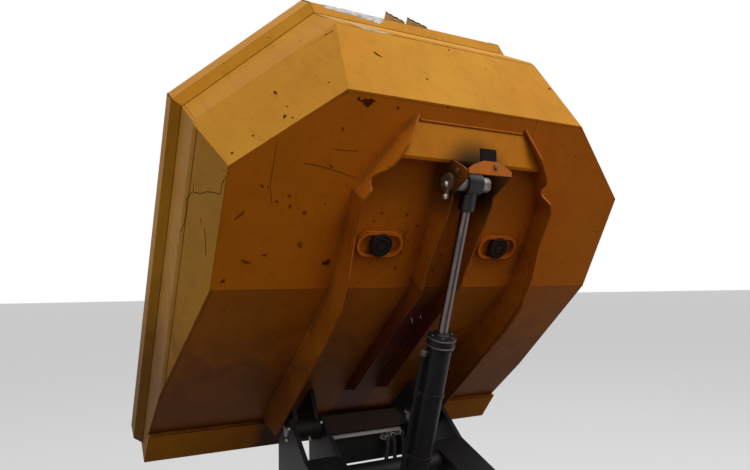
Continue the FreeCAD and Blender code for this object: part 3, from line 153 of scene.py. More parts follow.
class Graph:
    """One material's node tree, built wire by wire around a Principled shader."""

    def __init__(self, name: str, space: Space = Space.ROW) -> None:
        """Start an empty tree.

        Args:
            name: the material's name.
            space: frame in which position() gives a point.
        """
        self.material = bpy.data.materials.new(name)
        self.material.use_nodes = True
        self.tree = self.material.node_tree
        self.tree.nodes.clear()
        self.shader = self.tree.nodes.new("ShaderNodeBsdfPrincipled")
        output = self.tree.nodes.new("ShaderNodeOutputMaterial")
        self.tree.links.new(self.shader.outputs["BSDF"], output.inputs["Surface"])
        self.space = space
        self._place: Socket | None = None

    def node(self, kind: str, inputs: dict[int | str, object] | None = None,
             **options: object) -> bpy.types.Node:
        """Add a node.

        Args:
            kind: the part of its type's name after ShaderNode.
            inputs: sockets by name or number, each with a value or a socket to link from.
            options: the node's own settings.

        Returns:
            The new node.
        """
        made = self.tree.nodes.new("ShaderNode" + kind)
        for key, value in options.items():
            setattr(made, key, value)
        for key, value in (inputs or {}).items():
            if isinstance(value, bpy.types.NodeSocket):
                self.tree.links.new(value, made.inputs[key])
            else:
                made.inputs[key].default_value = value
        return made

    def position(self) -> Socket:
        """The shaded point, in metres of the tree's frame."""
        if self._place is None:
            coords = self.node("TexCoord").outputs["Object"]
            if self.space is Space.SKIP:
                back = Matrix.Rotation(-TIP_ANGLE, 3, "Y")
                offset = SKIP_HINGE_OWN - back @ SKIP_HINGE
                coords = self.node("Mapping", {"Vector": coords, "Location": offset,
                                               "Rotation": (0.0, -TIP_ANGLE, 0.0)}).outputs[0]
            self._place = coords
        return self._place

    def axis(self, name: str) -> Socket:
        """One coordinate, X, Y or Z, of the shaded point."""
        return self.node("SeparateXYZ", {0: self.position()}).outputs[name]

    def stretched(self, scale: Triple,
                  turn: Triple = (0.0, 0.0, 0.0)) -> Socket:
        """The shaded point scaled along each axis, for streaks and scratches."""
        return self.node("Mapping", {"Vector": self.position(), "Scale": scale,
                                     "Rotation": turn}).outputs[0]

    def noise(self, scale: float, detail: float = 3.0, rough: float = 0.55,
              vector: Socket | None = None, twist: float = 0.0) -> Socket:
        """Cloudy noise between nought and one.

        Args:
            scale: cells to the metre.
            detail: octaves.
            rough: strength of the finer octaves.
            vector: the point to read at, or the shaded point.
            twist: distortion.

        Returns:
            The noise's factor.
        """
        return self.node("TexNoise", {"Vector": vector or self.position(), "Scale": scale,
                                      "Detail": detail, "Roughness": rough,
                                      "Distortion": twist}).outputs["Fac"]

    def cells(self, scale: float, vector: Socket | None = None) -> Socket:
        """Distance to the nearest of a scatter of points."""
        return self.node("TexVoronoi", {"Vector": vector or self.position(),
                                        "Scale": scale}).outputs["Distance"]

    def specks(self, scale: float, radius: float, share: float) -> Socket:
        """Scattered round specks.

        Args:
            scale: places for a speck to the metre.
            radius: radius of a speck in metres.
            share: how many of the places have one.

        Returns:
            A mask that is one on the specks.
        """
        wobble = self.noise(90.0, 2.0, 0.6)
        made = self.node("TexVoronoi", {"Vector": self.position(), "Scale": scale})
        random = self.node("SeparateColor", {0: made.outputs["Color"]}).outputs["Red"]
        grown = self.maths("ADD", made.outputs["Distance"],
                           self.maths("MULTIPLY", wobble, 1.2 * radius * scale))
        size = self.maths("MULTIPLY", self.remap(random, 1.0 - share, 1.0, 0.0, 2.6),
                          radius * scale)
        return self.remap(self.node("Math", {0: size, 1: grown}, operation="SUBTRACT").outputs[0],
                          0.0, 0.4 * radius * scale)

    def facing(self, direction: Vector, low: float, high: float) -> Socket:
        """A mask that is one where the surface looks along direction."""
        normal = self.node("TexCoord").outputs["Normal"]
        dot = self.node("VectorMath", {0: normal, 1: direction},
                        operation="DOT_PRODUCT").outputs["Value"]
        return self.remap(dot, low, high)

    def near(self, point: Vector, core: float, reach: float) -> Socket:
        """A mask that is one within core of a point of the row frame and nought past reach."""
        coords = self.node("TexCoord").outputs["Object"]
        away = self.node("VectorMath", {0: coords, 1: point}, operation="DISTANCE").outputs["Value"]
        return self.remap(away, core, reach, 1.0, 0.0)

    def remap(self, value: Socket, low: float, high: float, out_low: float = 0.0,
              out_high: float = 1.0) -> Socket:
        """Stretch a range of values smoothly onto another and clamp it."""
        return self.node("MapRange", {"Value": value, "From Min": low, "From Max": high,
                                      "To Min": out_low, "To Max": out_high},
                         interpolation_type="SMOOTHSTEP").outputs["Result"]

    def maths(self, operation: str, first: Socket | float, second: Socket | float = 0.0) -> Socket:
        """One arithmetic step, clamped to nought and one where it multiplies or adds."""
        clamp = operation in {"MULTIPLY", "ADD", "SUBTRACT", "MAXIMUM"}
        return self.node("Math", {0: first, 1: second}, operation=operation,
                         use_clamp=clamp).outputs[0]

    def mix(self, share: Socket | float, first: Socket | Colour, second: Socket | Colour,
            blend: str = "MIX") -> Socket:
        """Mix two colours by a share."""
        made = self.node("Mix", data_type="RGBA", blend_type=blend)
        pairs = ((made.inputs["Factor"], share), (made.inputs[6], first), (made.inputs[7], second))
        for socket, value in pairs:
            if isinstance(value, bpy.types.NodeSocket):
                self.tree.links.new(value, socket)
            else:
                socket.default_value = (*value, 1.0) if isinstance(value, tuple) else value
        return made.outputs[2]

    def bump(self, height: Socket, distance: float, strength: float = 1.0,
             normal: Socket | None = None) -> Socket:
        """Relief from a height of nought to one, distance metres deep."""
        inputs: dict[int | str, object] = {"Height": height, "Distance": distance,
                                           "Strength": strength}
        if normal is not None:
            inputs["Normal"] = normal
        return self.node("Bump", inputs).outputs["Normal"]

    def edges(self, radius: float) -> tuple[Socket, Socket]:
        """Softened edges.

        Args:
            radius: how far from an edge the surface turns, in metres.

        Returns:
            The softened normal, and a mask that is one on the edges.
        """
        soft = self.node("Bevel", {"Radius": radius}, samples=6).outputs["Normal"]
        flat = self.node("NewGeometry").outputs["Normal"]
        dot = self.node("VectorMath", {0: soft, 1: flat}, operation="DOT_PRODUCT").outputs["Value"]
        return soft, self.remap(dot, 0.985, 0.86)

    def corners(self, distance: float) -> Socket:
        """A mask of painted shade that is one in inner corners, where ambient shade falls, out to a
        distance in metres.
        """
        shade = self.node("AmbientOcclusion", {"Distance": distance}, samples=6).outputs["AO"]
        return self.remap(shade, 0.82, 0.35)

    def finish(self, colour: Socket | Colour, roughness: Socket | float, normal: Socket | None,
               **constants: float) -> bpy.types.Material:
        """Wire the shader up.

        Args:
            colour: base colour.
            roughness: roughness.
            normal: relief, if any.
            constants: other shader sockets by name, with underscores for spaces.

        Returns:
            The material.
        """
        wires = {"Base Color": colour, "Roughness": roughness, "Normal": normal}
        for name, value in wires.items():
            if isinstance(value, bpy.types.NodeSocket):
                self.tree.links.new(value, self.shader.inputs[name])
            elif value is not None:
                self.shader.inputs[name].default_value = (
                    (*value, 1.0) if isinstance(value, tuple) else value)
        for name, number in constants.items():
            self.shader.inputs[name.replace("_", " ")].default_value = number
        return self.material


@dataclass(frozen=True)
class WornPaint:
    """Sprayed paint on plate, with chips to rust, scratches, dirt and painted shade in corners, and
    worn edges.
    """

    name: str
    colour: Colour
    deep: Colour
    space: Space = Space.ROW
    rust: Colour = (0.075, 0.022, 0.009)
    dirt: Colour = (0.055, 0.026, 0.012)
    chips: float = 0.5
    scratches: float = 0.5
    grime: float = 0.5
    worn_edges: float = 0.6
    gloss: float = 0.38
    waves: float = 0.004
    edge: float = 0.004
    # Painted shade: a deeper orange for faces that look along the skip's own down.
    under: Colour | None = None
    spots: float = 0.0
    shine: float = 0.16
    # Painted shade, partly dirt: half width of a middle darkened towards the dirt colour.
    shade_and_dirt_half: float | None = None

    def shade_and_dirt_underneath(self, g: Graph, tone: Socket, blotch: Socket) -> Socket:
        """Painted shade and road dirt on the underside, oil and grease with painted shade at the
        ram, and scuffs from slid loads.

        Args:
            g: the tree.
            tone: the paint's colour so far.
            blotch: noise that breaks the dirt up.

        Returns:
            The colour with its dirt and painted shade.
        """
        if self.under is None:
            return tone
        down = RAISED.to_3x3() @ Vector(DOWN)
        # Painted shade: faces that look along the skip's own down take the deeper orange of under.
        below = g.facing(down, 0.80, 0.96)
        tone = g.mix(g.maths("MULTIPLY", below, 0.9), tone, self.under)
        # Painted shade, partly road dirt: darker and browner towards the front of the skip.
        ahead = g.maths("ADD", g.remap(g.axis("X"), 0.80, 1.75),
                        g.maths("MULTIPLY", g.remap(blotch, 0.35, 0.65), 0.25))
        tone = g.mix(g.maths("MULTIPLY", g.remap(ahead, 0.05, 1.1), 0.72), tone, self.dirt)
        # Painted shade, partly oil: darker between the inner ribs, where the ram lies.
        between = g.maths("SUBTRACT", g.remap(g.axis("Y"), -0.10, -0.075),
                          g.remap(g.axis("Y"), 0.075, 0.10))
        oil_and_shade_between_ribs = g.maths("MULTIPLY", between, g.remap(g.axis("X"), 0.62, 1.05, 0.0, 0.75))
        outside = g.facing(down, -0.5, -0.2)
        tone = g.mix(g.maths("MULTIPLY", oil_and_shade_between_ribs, outside), tone, OIL_AND_SHADE)
        red = g.near(RAISED @ Vector((1.12, -0.03, 0.08)), 0.03, 0.22)
        red = g.maths("MULTIPLY", red, g.maths("MULTIPLY", outside, 0.75))
        tone = g.mix(red, tone, RED_WASH)
        slid = g.noise(1.0, 5.0, 0.62, g.stretched((1.5, 20.0, 20.0)))
        slid = g.maths("ADD", slid, g.remap(g.noise(2.3, 4.0, 0.6), 0.3, 0.7, 0.0, 0.22))
        loaded = g.maths("MULTIPLY", g.facing(-down, 0.1, 0.6), g.remap(slid, 0.50, 0.68))
        tone = g.mix(g.maths("MULTIPLY", loaded, 0.85), tone,
                     g.mix(g.remap(slid, 0.62, 0.78), SCUFFED, SCOURED))
        # Painted shade, partly grease: near black round the ram's eye.
        grease = g.near(RAISED @ RAM_EYE_OWN, 0.075, 0.19)
        grease = g.maths("MULTIPLY", grease, g.maths("MULTIPLY", outside, 0.92))
        return g.mix(grease, tone, GREASE_AND_SHADE)

    def make(self) -> bpy.types.Material:
        """Build the material."""
        g = Graph(self.name, self.space)
        soft, rim = g.edges(self.edge)
        corner = g.corners(0.07)
        cloud = g.noise(1.7, 4.0, 0.6)
        blotch = g.noise(7.0, 5.0, 0.62, twist=0.6)
        speck = g.noise(62.0, 4.0, 0.7)
        grain = g.noise(240.0, 2.0, 0.5)
        tone = g.mix(g.remap(cloud, 0.30, 0.72), self.colour, self.deep)
        tone = g.mix(g.maths("MULTIPLY", g.remap(blotch, 0.45, 0.8), 0.35), tone, self.deep)
        tone = self.shade_and_dirt_underneath(g, tone, blotch)
        streaks = g.noise(1.0, 5.0, 0.65, g.stretched((26.0, 26.0, 1.6)))
        film = g.maths("MULTIPLY", g.remap(streaks, 0.50, 0.78), 0.34 * self.grime)
        tone = g.mix(film, tone, self.dirt)
        fine = g.noise(1.0, 2.0, 0.4, g.stretched((3.0, 150.0, 90.0), (0.3, 0.5, 0.9)))
        cross = g.noise(1.0, 2.0, 0.4, g.stretched((120.0, 4.0, 60.0), (0.2, 0.1, 0.5)))
        scratch = g.maths("MAXIMUM", g.remap(fine, 0.735, 0.76), g.remap(cross, 0.745, 0.77))
        scratch = g.maths("MULTIPLY", scratch, g.remap(cloud, 0.42, 0.6, 0.0, self.scratches))
        tone = g.mix(scratch, tone, self.rust)
        reach = g.remap(g.noise(3.1, 4.0, 0.7), 0.45, 0.75, 0.0, 0.10 * self.chips)
        level = g.maths("ADD", speck, reach)
        chip = g.remap(level, 0.745 - 0.02 * self.chips, 0.765)
        torn = g.remap(g.maths("ADD", g.maths("MULTIPLY", rim, 0.5),
                               g.maths("MULTIPLY", g.noise(34.0, 5.0, 0.7), 0.8)),
                       0.80 - 0.12 * self.worn_edges, 0.84)
        torn = g.maths("MULTIPLY", torn, rim)
        bare = g.maths("MAXIMUM", chip, torn)
        if self.spots:
            for scale, radius, share in ((24.0, 0.0022, 1.0), (9.0, 0.0042, 0.6),
                                         (55.0, 0.0011, 0.8)):
                bare = g.maths("MAXIMUM", bare, g.specks(scale, radius, share * self.spots))
        tone = g.mix(bare, tone, g.mix(speck, self.rust, LIGHT_RUST))
        # Dust and painted shade: darker in inner corners, broken up by blotches.
        dusty = g.maths("MULTIPLY", g.maths("MULTIPLY", corner, g.remap(blotch, 0.3, 0.6)),
                        0.85 * self.grime)
        tone = g.mix(dusty, tone, self.dirt)
        tone = g.mix(g.maths("MULTIPLY", rim, 0.55 * self.grime), tone, self.dirt)
        # Painted shade, partly dirt: darker across the middle, out to a half width.
        if self.shade_and_dirt_half is not None:
            middle_shade_and_dirt = g.remap(g.maths("ABSOLUTE", g.axis("Y")), self.shade_and_dirt_half,
                            self.shade_and_dirt_half + 0.08, 0.93, 0.0)
            tone = g.mix(middle_shade_and_dirt, tone, self.dirt)
        dull = g.maths("ADD", g.maths("MULTIPLY", grain, 0.16), self.gloss)
        dull = g.maths("ADD", dull, g.maths("MULTIPLY", g.maths("MAXIMUM", bare, dusty), 0.4))
        dents = g.bump(g.noise(2.6, 2.0, 0.4), self.waves, 1.0, soft)
        peel = g.bump(grain, 0.00025, 0.5, dents)
        relief = g.bump(g.maths("SUBTRACT", 1.0, bare), 0.0004, 0.8, peel)
        return g.finish(tone, dull, relief, Specular_IOR_Level=self.shine)


@dataclass(frozen=True)
class RamRod:
    """Hard chrome on the rod, darkened as a painted reflection and streaked with painted
    highlights, and black paint on its head and eye.
    """

    name: str
    bare_from: float = 0.098

    def make(self) -> bpy.types.Material:
        """Build the material."""
        g = Graph(self.name)
        eye = RAISED @ RAM_EYE_OWN
        down = (RAM_BASE - eye).normalized()
        coords = g.node("TexCoord").outputs["Object"]
        offset = g.node("VectorMath", {0: coords, 1: eye}, operation="SUBTRACT").outputs["Vector"]
        along = g.node("VectorMath", {0: offset, 1: down}, operation="DOT_PRODUCT").outputs["Value"]
        chrome = g.remap(along, self.bare_from - 0.001, self.bare_from + 0.001)
        lines = g.noise(1.0, 3.0, 0.5, g.stretched((260.0, 260.0, 9.0), (0.0, 0.35, 0.0)))
        film = g.remap(g.noise(11.0, 5.0, 0.7), 0.35, 0.8)
        # Painted reflection and painted highlights: the chrome is dark, as if mirroring the dark
        # skip, with lighter and darker streaks along the rod.
        plate = g.mix(g.maths("MULTIPLY", lines, 0.5), (0.21, 0.175, 0.17), (0.09, 0.07, 0.066))
        plate = g.mix(g.maths("MULTIPLY", film, 0.5), plate, (0.045, 0.030, 0.028))
        black = g.mix(film, (0.006, 0.006, 0.008), (0.020, 0.014, 0.011))
        tone = g.mix(chrome, black, plate)
        dull = g.maths("ADD", g.maths("MULTIPLY", film, 0.20),
                       g.remap(chrome, 0.0, 1.0, 0.45, 0.26))
        made = g.finish(tone, dull, g.bump(lines, 0.0001, 0.4))
        g.tree.links.new(chrome, g.shader.inputs["Metallic"])
        return made


@dataclass(frozen=True)
class Metal:
    """Bare or plated metal with a drawn or rusted surface."""

    name: str
    colour: Colour
    stain: Colour
    rusted: float = 0.3
    roughness: float = 0.35
    drawn: Triple = (30.0, 400.0, 400.0)
    space: Space = Space.ROW

    def make(self) -> bpy.types.Material:
        """Build the material."""
        g = Graph(self.name, self.space)
        soft, _ = g.edges(0.003)
        lines = g.noise(1.0, 3.0, 0.5, g.stretched(self.drawn))
        stain = g.remap(g.noise(22.0, 5.0, 0.7, twist=0.8), 0.72 - 0.42 * self.rusted, 0.78)
        tone = g.mix(g.maths("MULTIPLY", lines, 0.35), self.colour, self.stain)
        tone = g.mix(g.maths("MULTIPLY", stain, min(1.0, 0.25 + self.rusted)), tone, self.stain)
        dull = g.maths("ADD", g.maths("MULTIPLY", lines, 0.18), self.roughness)
        dull = g.maths("ADD", dull, g.maths("MULTIPLY", stain, 0.45 * self.rusted))
        relief = g.bump(g.noise(90.0, 3.0, 0.6), 0.0003, 0.4 * self.rusted + 0.05, soft)
        return g.finish(tone, dull, relief, Metallic=1.0 - 0.45 * self.rusted)


@dataclass(frozen=True)
class DullSkin:
    """Rubber, moulded plastic, dirt or rust: a dull skin with dust and a fine grain."""

    name: str
    colour: Colour
    dust: Colour = (0.16, 0.13, 0.10)
    dusty: float = 0.3
    roughness: float = 0.62
    grain: float = 420.0
    depth: float = 0.00025
    shine: float = 0.5

    def make(self) -> bpy.types.Material:
        """Build the material."""
        g = Graph(self.name)
        soft, rim = g.edges(0.003)
        cloud = g.noise(9.0, 5.0, 0.65)
        share = g.maths("MULTIPLY", g.remap(cloud, 0.38, 0.75), self.dusty)
        tone = g.mix(share, self.colour, self.dust)
        tone = g.mix(g.maths("MULTIPLY", rim, 0.25), tone, self.dust)
        dull = g.maths("ADD", g.maths("MULTIPLY", share, 0.4), self.roughness)
        relief = g.bump(g.noise(self.grain, 2.0, 0.5), self.depth, 0.6, soft)
        return g.finish(tone, dull, relief, Specular_IOR_Level=self.shine)


@dataclass(frozen=True)
class Vinyl:
    """Black seat vinyl with a pebbled grain and scuffs."""

    name: str
    colour: Colour

    def make(self) -> bpy.types.Material:
        """Build the material."""
        g = Graph(self.name)
        pebbles = g.cells(330.0)
        scuff = g.remap(g.noise(14.0, 5.0, 0.7), 0.5, 0.75)
        tone = g.mix(g.maths("MULTIPLY", scuff, 0.5), self.colour, (0.10, 0.095, 0.09))
        dull = g.maths("ADD", g.maths("MULTIPLY", scuff, 0.25), 0.42)
        relief = g.bump(pebbles, 0.0006, 0.55)
        return g.finish(tone, dull, relief, Sheen_Weight=0.08)


@dataclass(frozen=True)
class Lens:
    """Clear or coloured lamp lens."""

    name: str
    colour: Colour

    def make(self) -> bpy.types.Material:
        """Build the material."""
        g = Graph(self.name)
        ribs = g.node("TexWave", {"Vector": g.position(), "Scale": 55.0},
                      bands_direction="Y").outputs["Fac"]
        grime = g.remap(g.noise(30.0, 4.0, 0.6), 0.4, 0.8)
        tone = g.mix(g.maths("MULTIPLY", grime, 0.25), self.colour, (0.25, 0.22, 0.18))
        return g.finish(tone, g.maths("ADD", g.maths("MULTIPLY", grime, 0.3), 0.08),
                        g.bump(ribs, 0.001, 0.6), Coat_Weight=0.6, Coat_Roughness=0.05)


class Stock:
    """Small shapes that trim is put together from; each is a mesh of its own at the origin."""

    @staticmethod
    def block(size: Sequence[float], bevel: float = 0.0, segments: int = 2) -> Shape:
        """A box with softened edges.

        Args:
            size: metres along X, Y and Z.
            bevel: width of the softened edges.
            segments: steps round an edge.

        Returns:
            The box, centred.
        """
        bm = bmesh.new()
        bmesh.ops.create_cube(bm, size=1.0)
        bmesh.ops.scale(bm, vec=size, verts=bm.verts)
        if bevel > 0:
            Stock.soften(bm, bm.edges[:], bevel, segments)
        return bm

    @staticmethod
    def soften(bm: Shape, edges: list[bmesh.types.BMEdge], width: float,
               segments: int = 2) -> None:
        """Round edges off."""
        bmesh.ops.bevel(bm, geom=edges, offset=width, segments=segments, profile=0.5,
                        affect="EDGES", material=-1)

    @staticmethod
    def level(bm: Shape) -> list[bmesh.types.BMEdge]:
        """The edges that lie level."""
        return [e for e in bm.edges if abs(e.verts[0].co.z - e.verts[1].co.z) < 1e-6]

    @staticmethod
    def blocks(size: Sequence[float], spots: Iterable[Sequence[float]], bevel: float = 0.0,
               segments: int = 2) -> list[Placed]:
        """Boxes of one size at points of the machine."""
        box = Stock.block(size, bevel, segments)
        return [(box, at(*spot)) for spot in spots]

    @staticmethod
    def drum(radius: float, height: float, sides: int = 32,
             bevel: float = 0.0) -> Shape:
        """A round or many-sided bar along Z, from nought up.

        Args:
            radius: its radius, to the corners.
            height: length along Z.
            sides: facets round.
            bevel: width of the softened rims.

        Returns:
            The bar.
        """
        bm = bmesh.new()
        bmesh.ops.create_cone(bm, cap_ends=True, segments=sides, radius1=radius, radius2=radius,
                              depth=height)
        bmesh.ops.translate(bm, vec=(0.0, 0.0, height / 2), verts=bm.verts)
        if bevel > 0:
            Stock.soften(bm, Stock.level(bm), bevel)
        return bm

    @staticmethod
    def bolt(radius: float, height: float) -> Shape:
        """A hexagon head on a washer, standing on Z nought."""
        head = Stock.drum(radius, height, 6, radius * 0.09)
        washer = Stock.drum(radius * 1.25, height * 0.22, 24, height * 0.05)
        return joined([(head, BOTH[0]), (washer, BOTH[0])])

    @staticmethod
    def bolts(radius: float, height: float, spots: Iterable[Sequence[float]],
              direction: Sequence[float], spin: float = 0.0) -> list[Placed]:
        """Bolt heads at points, standing along one direction."""
        head = Stock.bolt(radius, height)
        return [(head, aimed(spot, direction, spin)) for spot in spots]

    @staticmethod
    def turned(profile: Sequence[Pair], steps: int = 48) -> Shape:
        """A profile of (radius, height) spun about Z, closed on itself where its ends meet."""
        bm = bmesh.new()
        corners = [bm.verts.new((r, 0.0, h)) for r, h in profile]
        wire = [bm.edges.new(pair) for pair in zip(corners, corners[1:] + corners[:1])]
        bmesh.ops.spin(bm, geom=corners + wire, cent=(0, 0, 0), axis=(0, 0, 1),
                       angle=math.tau, steps=steps, use_merge=True)
        bmesh.ops.remove_doubles(bm, verts=bm.verts, dist=MERGE)
        bmesh.ops.recalc_face_normals(bm, faces=bm.faces)
        return bm

    @staticmethod
    def band(inner: float, outer: float, low: float, high: float,
             steps: int = 40) -> Shape:
        """A ring about Z with a square section."""
        return Stock.turned([(inner, low), (outer, low), (outer, high), (inner, high)], steps)

    @staticmethod
    def tube(points: Sequence[Vector], radius: float, sides: int = 3) -> Shape:
        """A round tube through points, smooth between them.

        Args:
            points: control points; the curve passes near the inner ones.
            radius: radius of the tube.
            sides: fineness round the tube.

        Returns:
            The tube with closed ends.
        """
        curve = bpy.data.curves.new("run", "CURVE")
        curve.dimensions = "3D"
        spline = curve.splines.new("NURBS")
        spline.points.add(len(points) - 1)
        for slot, point in zip(spline.points, points):
            slot.co = (*point, 1.0)
        spline.order_u = 3
        spline.use_endpoint_u = True
        spline.resolution_u = 8
        curve.bevel_depth = radius
        curve.bevel_resolution = sides
        curve.use_fill_caps = True
        holder = bpy.data.objects.new("run", curve)
        mesh = bpy.data.meshes.new_from_object(holder)
        bm = bmesh.new()
        bm.from_mesh(mesh)
        bpy.data.objects.remove(holder)
        bpy.data.curves.remove(curve)
        bpy.data.meshes.remove(mesh)
        return bm

    @staticmethod
    def bead(start: Vector, end: Vector, radius: float = 0.0038,
             pitch: float = 0.0085) -> Shape:
        """A weld bead with its ripples from start to end."""
        run = end - start
        count = max(2, round(run.length / pitch) * 2)
        bm = bmesh.new()
        bmesh.ops.create_circle(bm, cap_ends=True, segments=7, radius=radius)
        front = bm.faces[:]
        for step in range(count):
            grown = bmesh.ops.extrude_face_region(bm, geom=front)
            fresh = [v for v in grown["geom"] if isinstance(v, bmesh.types.BMVert)]
            front = [f for f in grown["geom"] if isinstance(f, bmesh.types.BMFace)]
            middle = Vector((0.0, 0.0, run.length * step / count))
            swell = 1.22 if step % 2 == 0 else 1 / 1.22
            bmesh.ops.translate(bm, vec=(0.0, 0.0, run.length / count), verts=fresh)
            bmesh.ops.scale(bm, vec=(swell, swell, 1.0), verts=fresh,
                            space=Matrix.Translation(-middle))
        turn = run.to_track_quat("Z", "Y").to_matrix().to_4x4()
        bmesh.ops.transform(bm, matrix=Matrix.Translation(start) @ turn, verts=bm.verts)
        return bm


def joined(parts: Iterable[Placed]) -> Shape:
    """Copy parts into one mesh, each at its placement.

    Args:
        parts: the parts, which may be used again.

    Returns:
        The mesh that holds them all.
    """
    whole = bmesh.new()
    for part, place in parts:
        mesh = meshed("part", part)
        mesh.transform(place)
        if place.determinant() < 0:
            mesh.flip_normals()
        whole.from_mesh(mesh)
        bpy.data.meshes.remove(mesh)
    return whole


def meshed(name: str, bm: Shape) -> bpy.types.Mesh:
    """A new mesh with what bm holds."""
    mesh = bpy.data.meshes.new(name)
    bm.to_mesh(mesh)
    return mesh


def linked(name: str, data: bpy.types.ID) -> bpy.types.Object:
    """A new object in the scene that holds data."""
    made = bpy.data.objects.new(name, data)
    bpy.context.scene.collection.objects.link(made)
    return made


def aimed(point: Sequence[float], direction: Sequence[float], spin: float = 0.0) -> Matrix:
    """A placement that stands a shape's Z along direction at point."""
    turn = Vector(direction).to_track_quat("Z", "Y").to_matrix().to_4x4()
    return Matrix.Translation(point) @ turn @ Matrix.Rotation(spin, 4, "Z")


def laid(point: Sequence[float], along: Sequence[float], normal: Sequence[float]) -> Matrix:
    """A placement that lays a flat shape on a surface at point, its X nearest to along."""
    along, normal = Vector(along), Vector(normal)
    level = (along - normal * along.dot(normal)).normalized()
    turn = Matrix((level, normal.cross(level), normal)).transposed().to_4x4()
    return Matrix.Translation(point) @ turn


@dataclass
class Shop:
    """Makes the finishes and dresses the solids."""

    frame: dict
    finishes: dict[str, bpy.types.Material] = field(default_factory=dict)

    def material(self, finish: "Finish") -> bpy.types.Material:
        """The material of a finish, made once."""
        if finish.name not in self.finishes:
            self.finishes[finish.name] = finish.value.make()
        return self.finishes[finish.name]

    def dress(self, table: dict["Finish", str]) -> None:
        """Give solids their finishes.

        Args:
            table: the names of each finish's solids, or a start of them with a star.
        """
        for finish, patterns in table.items():
            for pattern in patterns.split():
                names = [n for n in self.frame["nodes"] if n == pattern or (
                    pattern.endswith("*") and n.startswith(pattern[:-1]))]
                for name in names:
                    mesh = self.frame["nodes"][name].data
                    mesh.materials.clear()
                    mesh.materials.append(self.material(finish))
                LOG.info("dressed %s in %s", ", ".join(names), finish.name.lower())


# Finishes of each of the record's material slots; the other finishes are the skip's
SLOTS = {"bare_steel": ("STEEL", "GLAND", "PALE_STEEL"), "black_rubber": ("FLAP", "HOSE"),
         "black_plastic": ("PLASTIC", "AMBER", "LAMP", "TAIL"), "frame_paint": ("CHASSIS",),
         "body_paint": ("BODY",), "tyre_rubber": ("TYRE",), "engine_iron": ("IRON",),
         "seat_vinyl": ("VINYL",)}


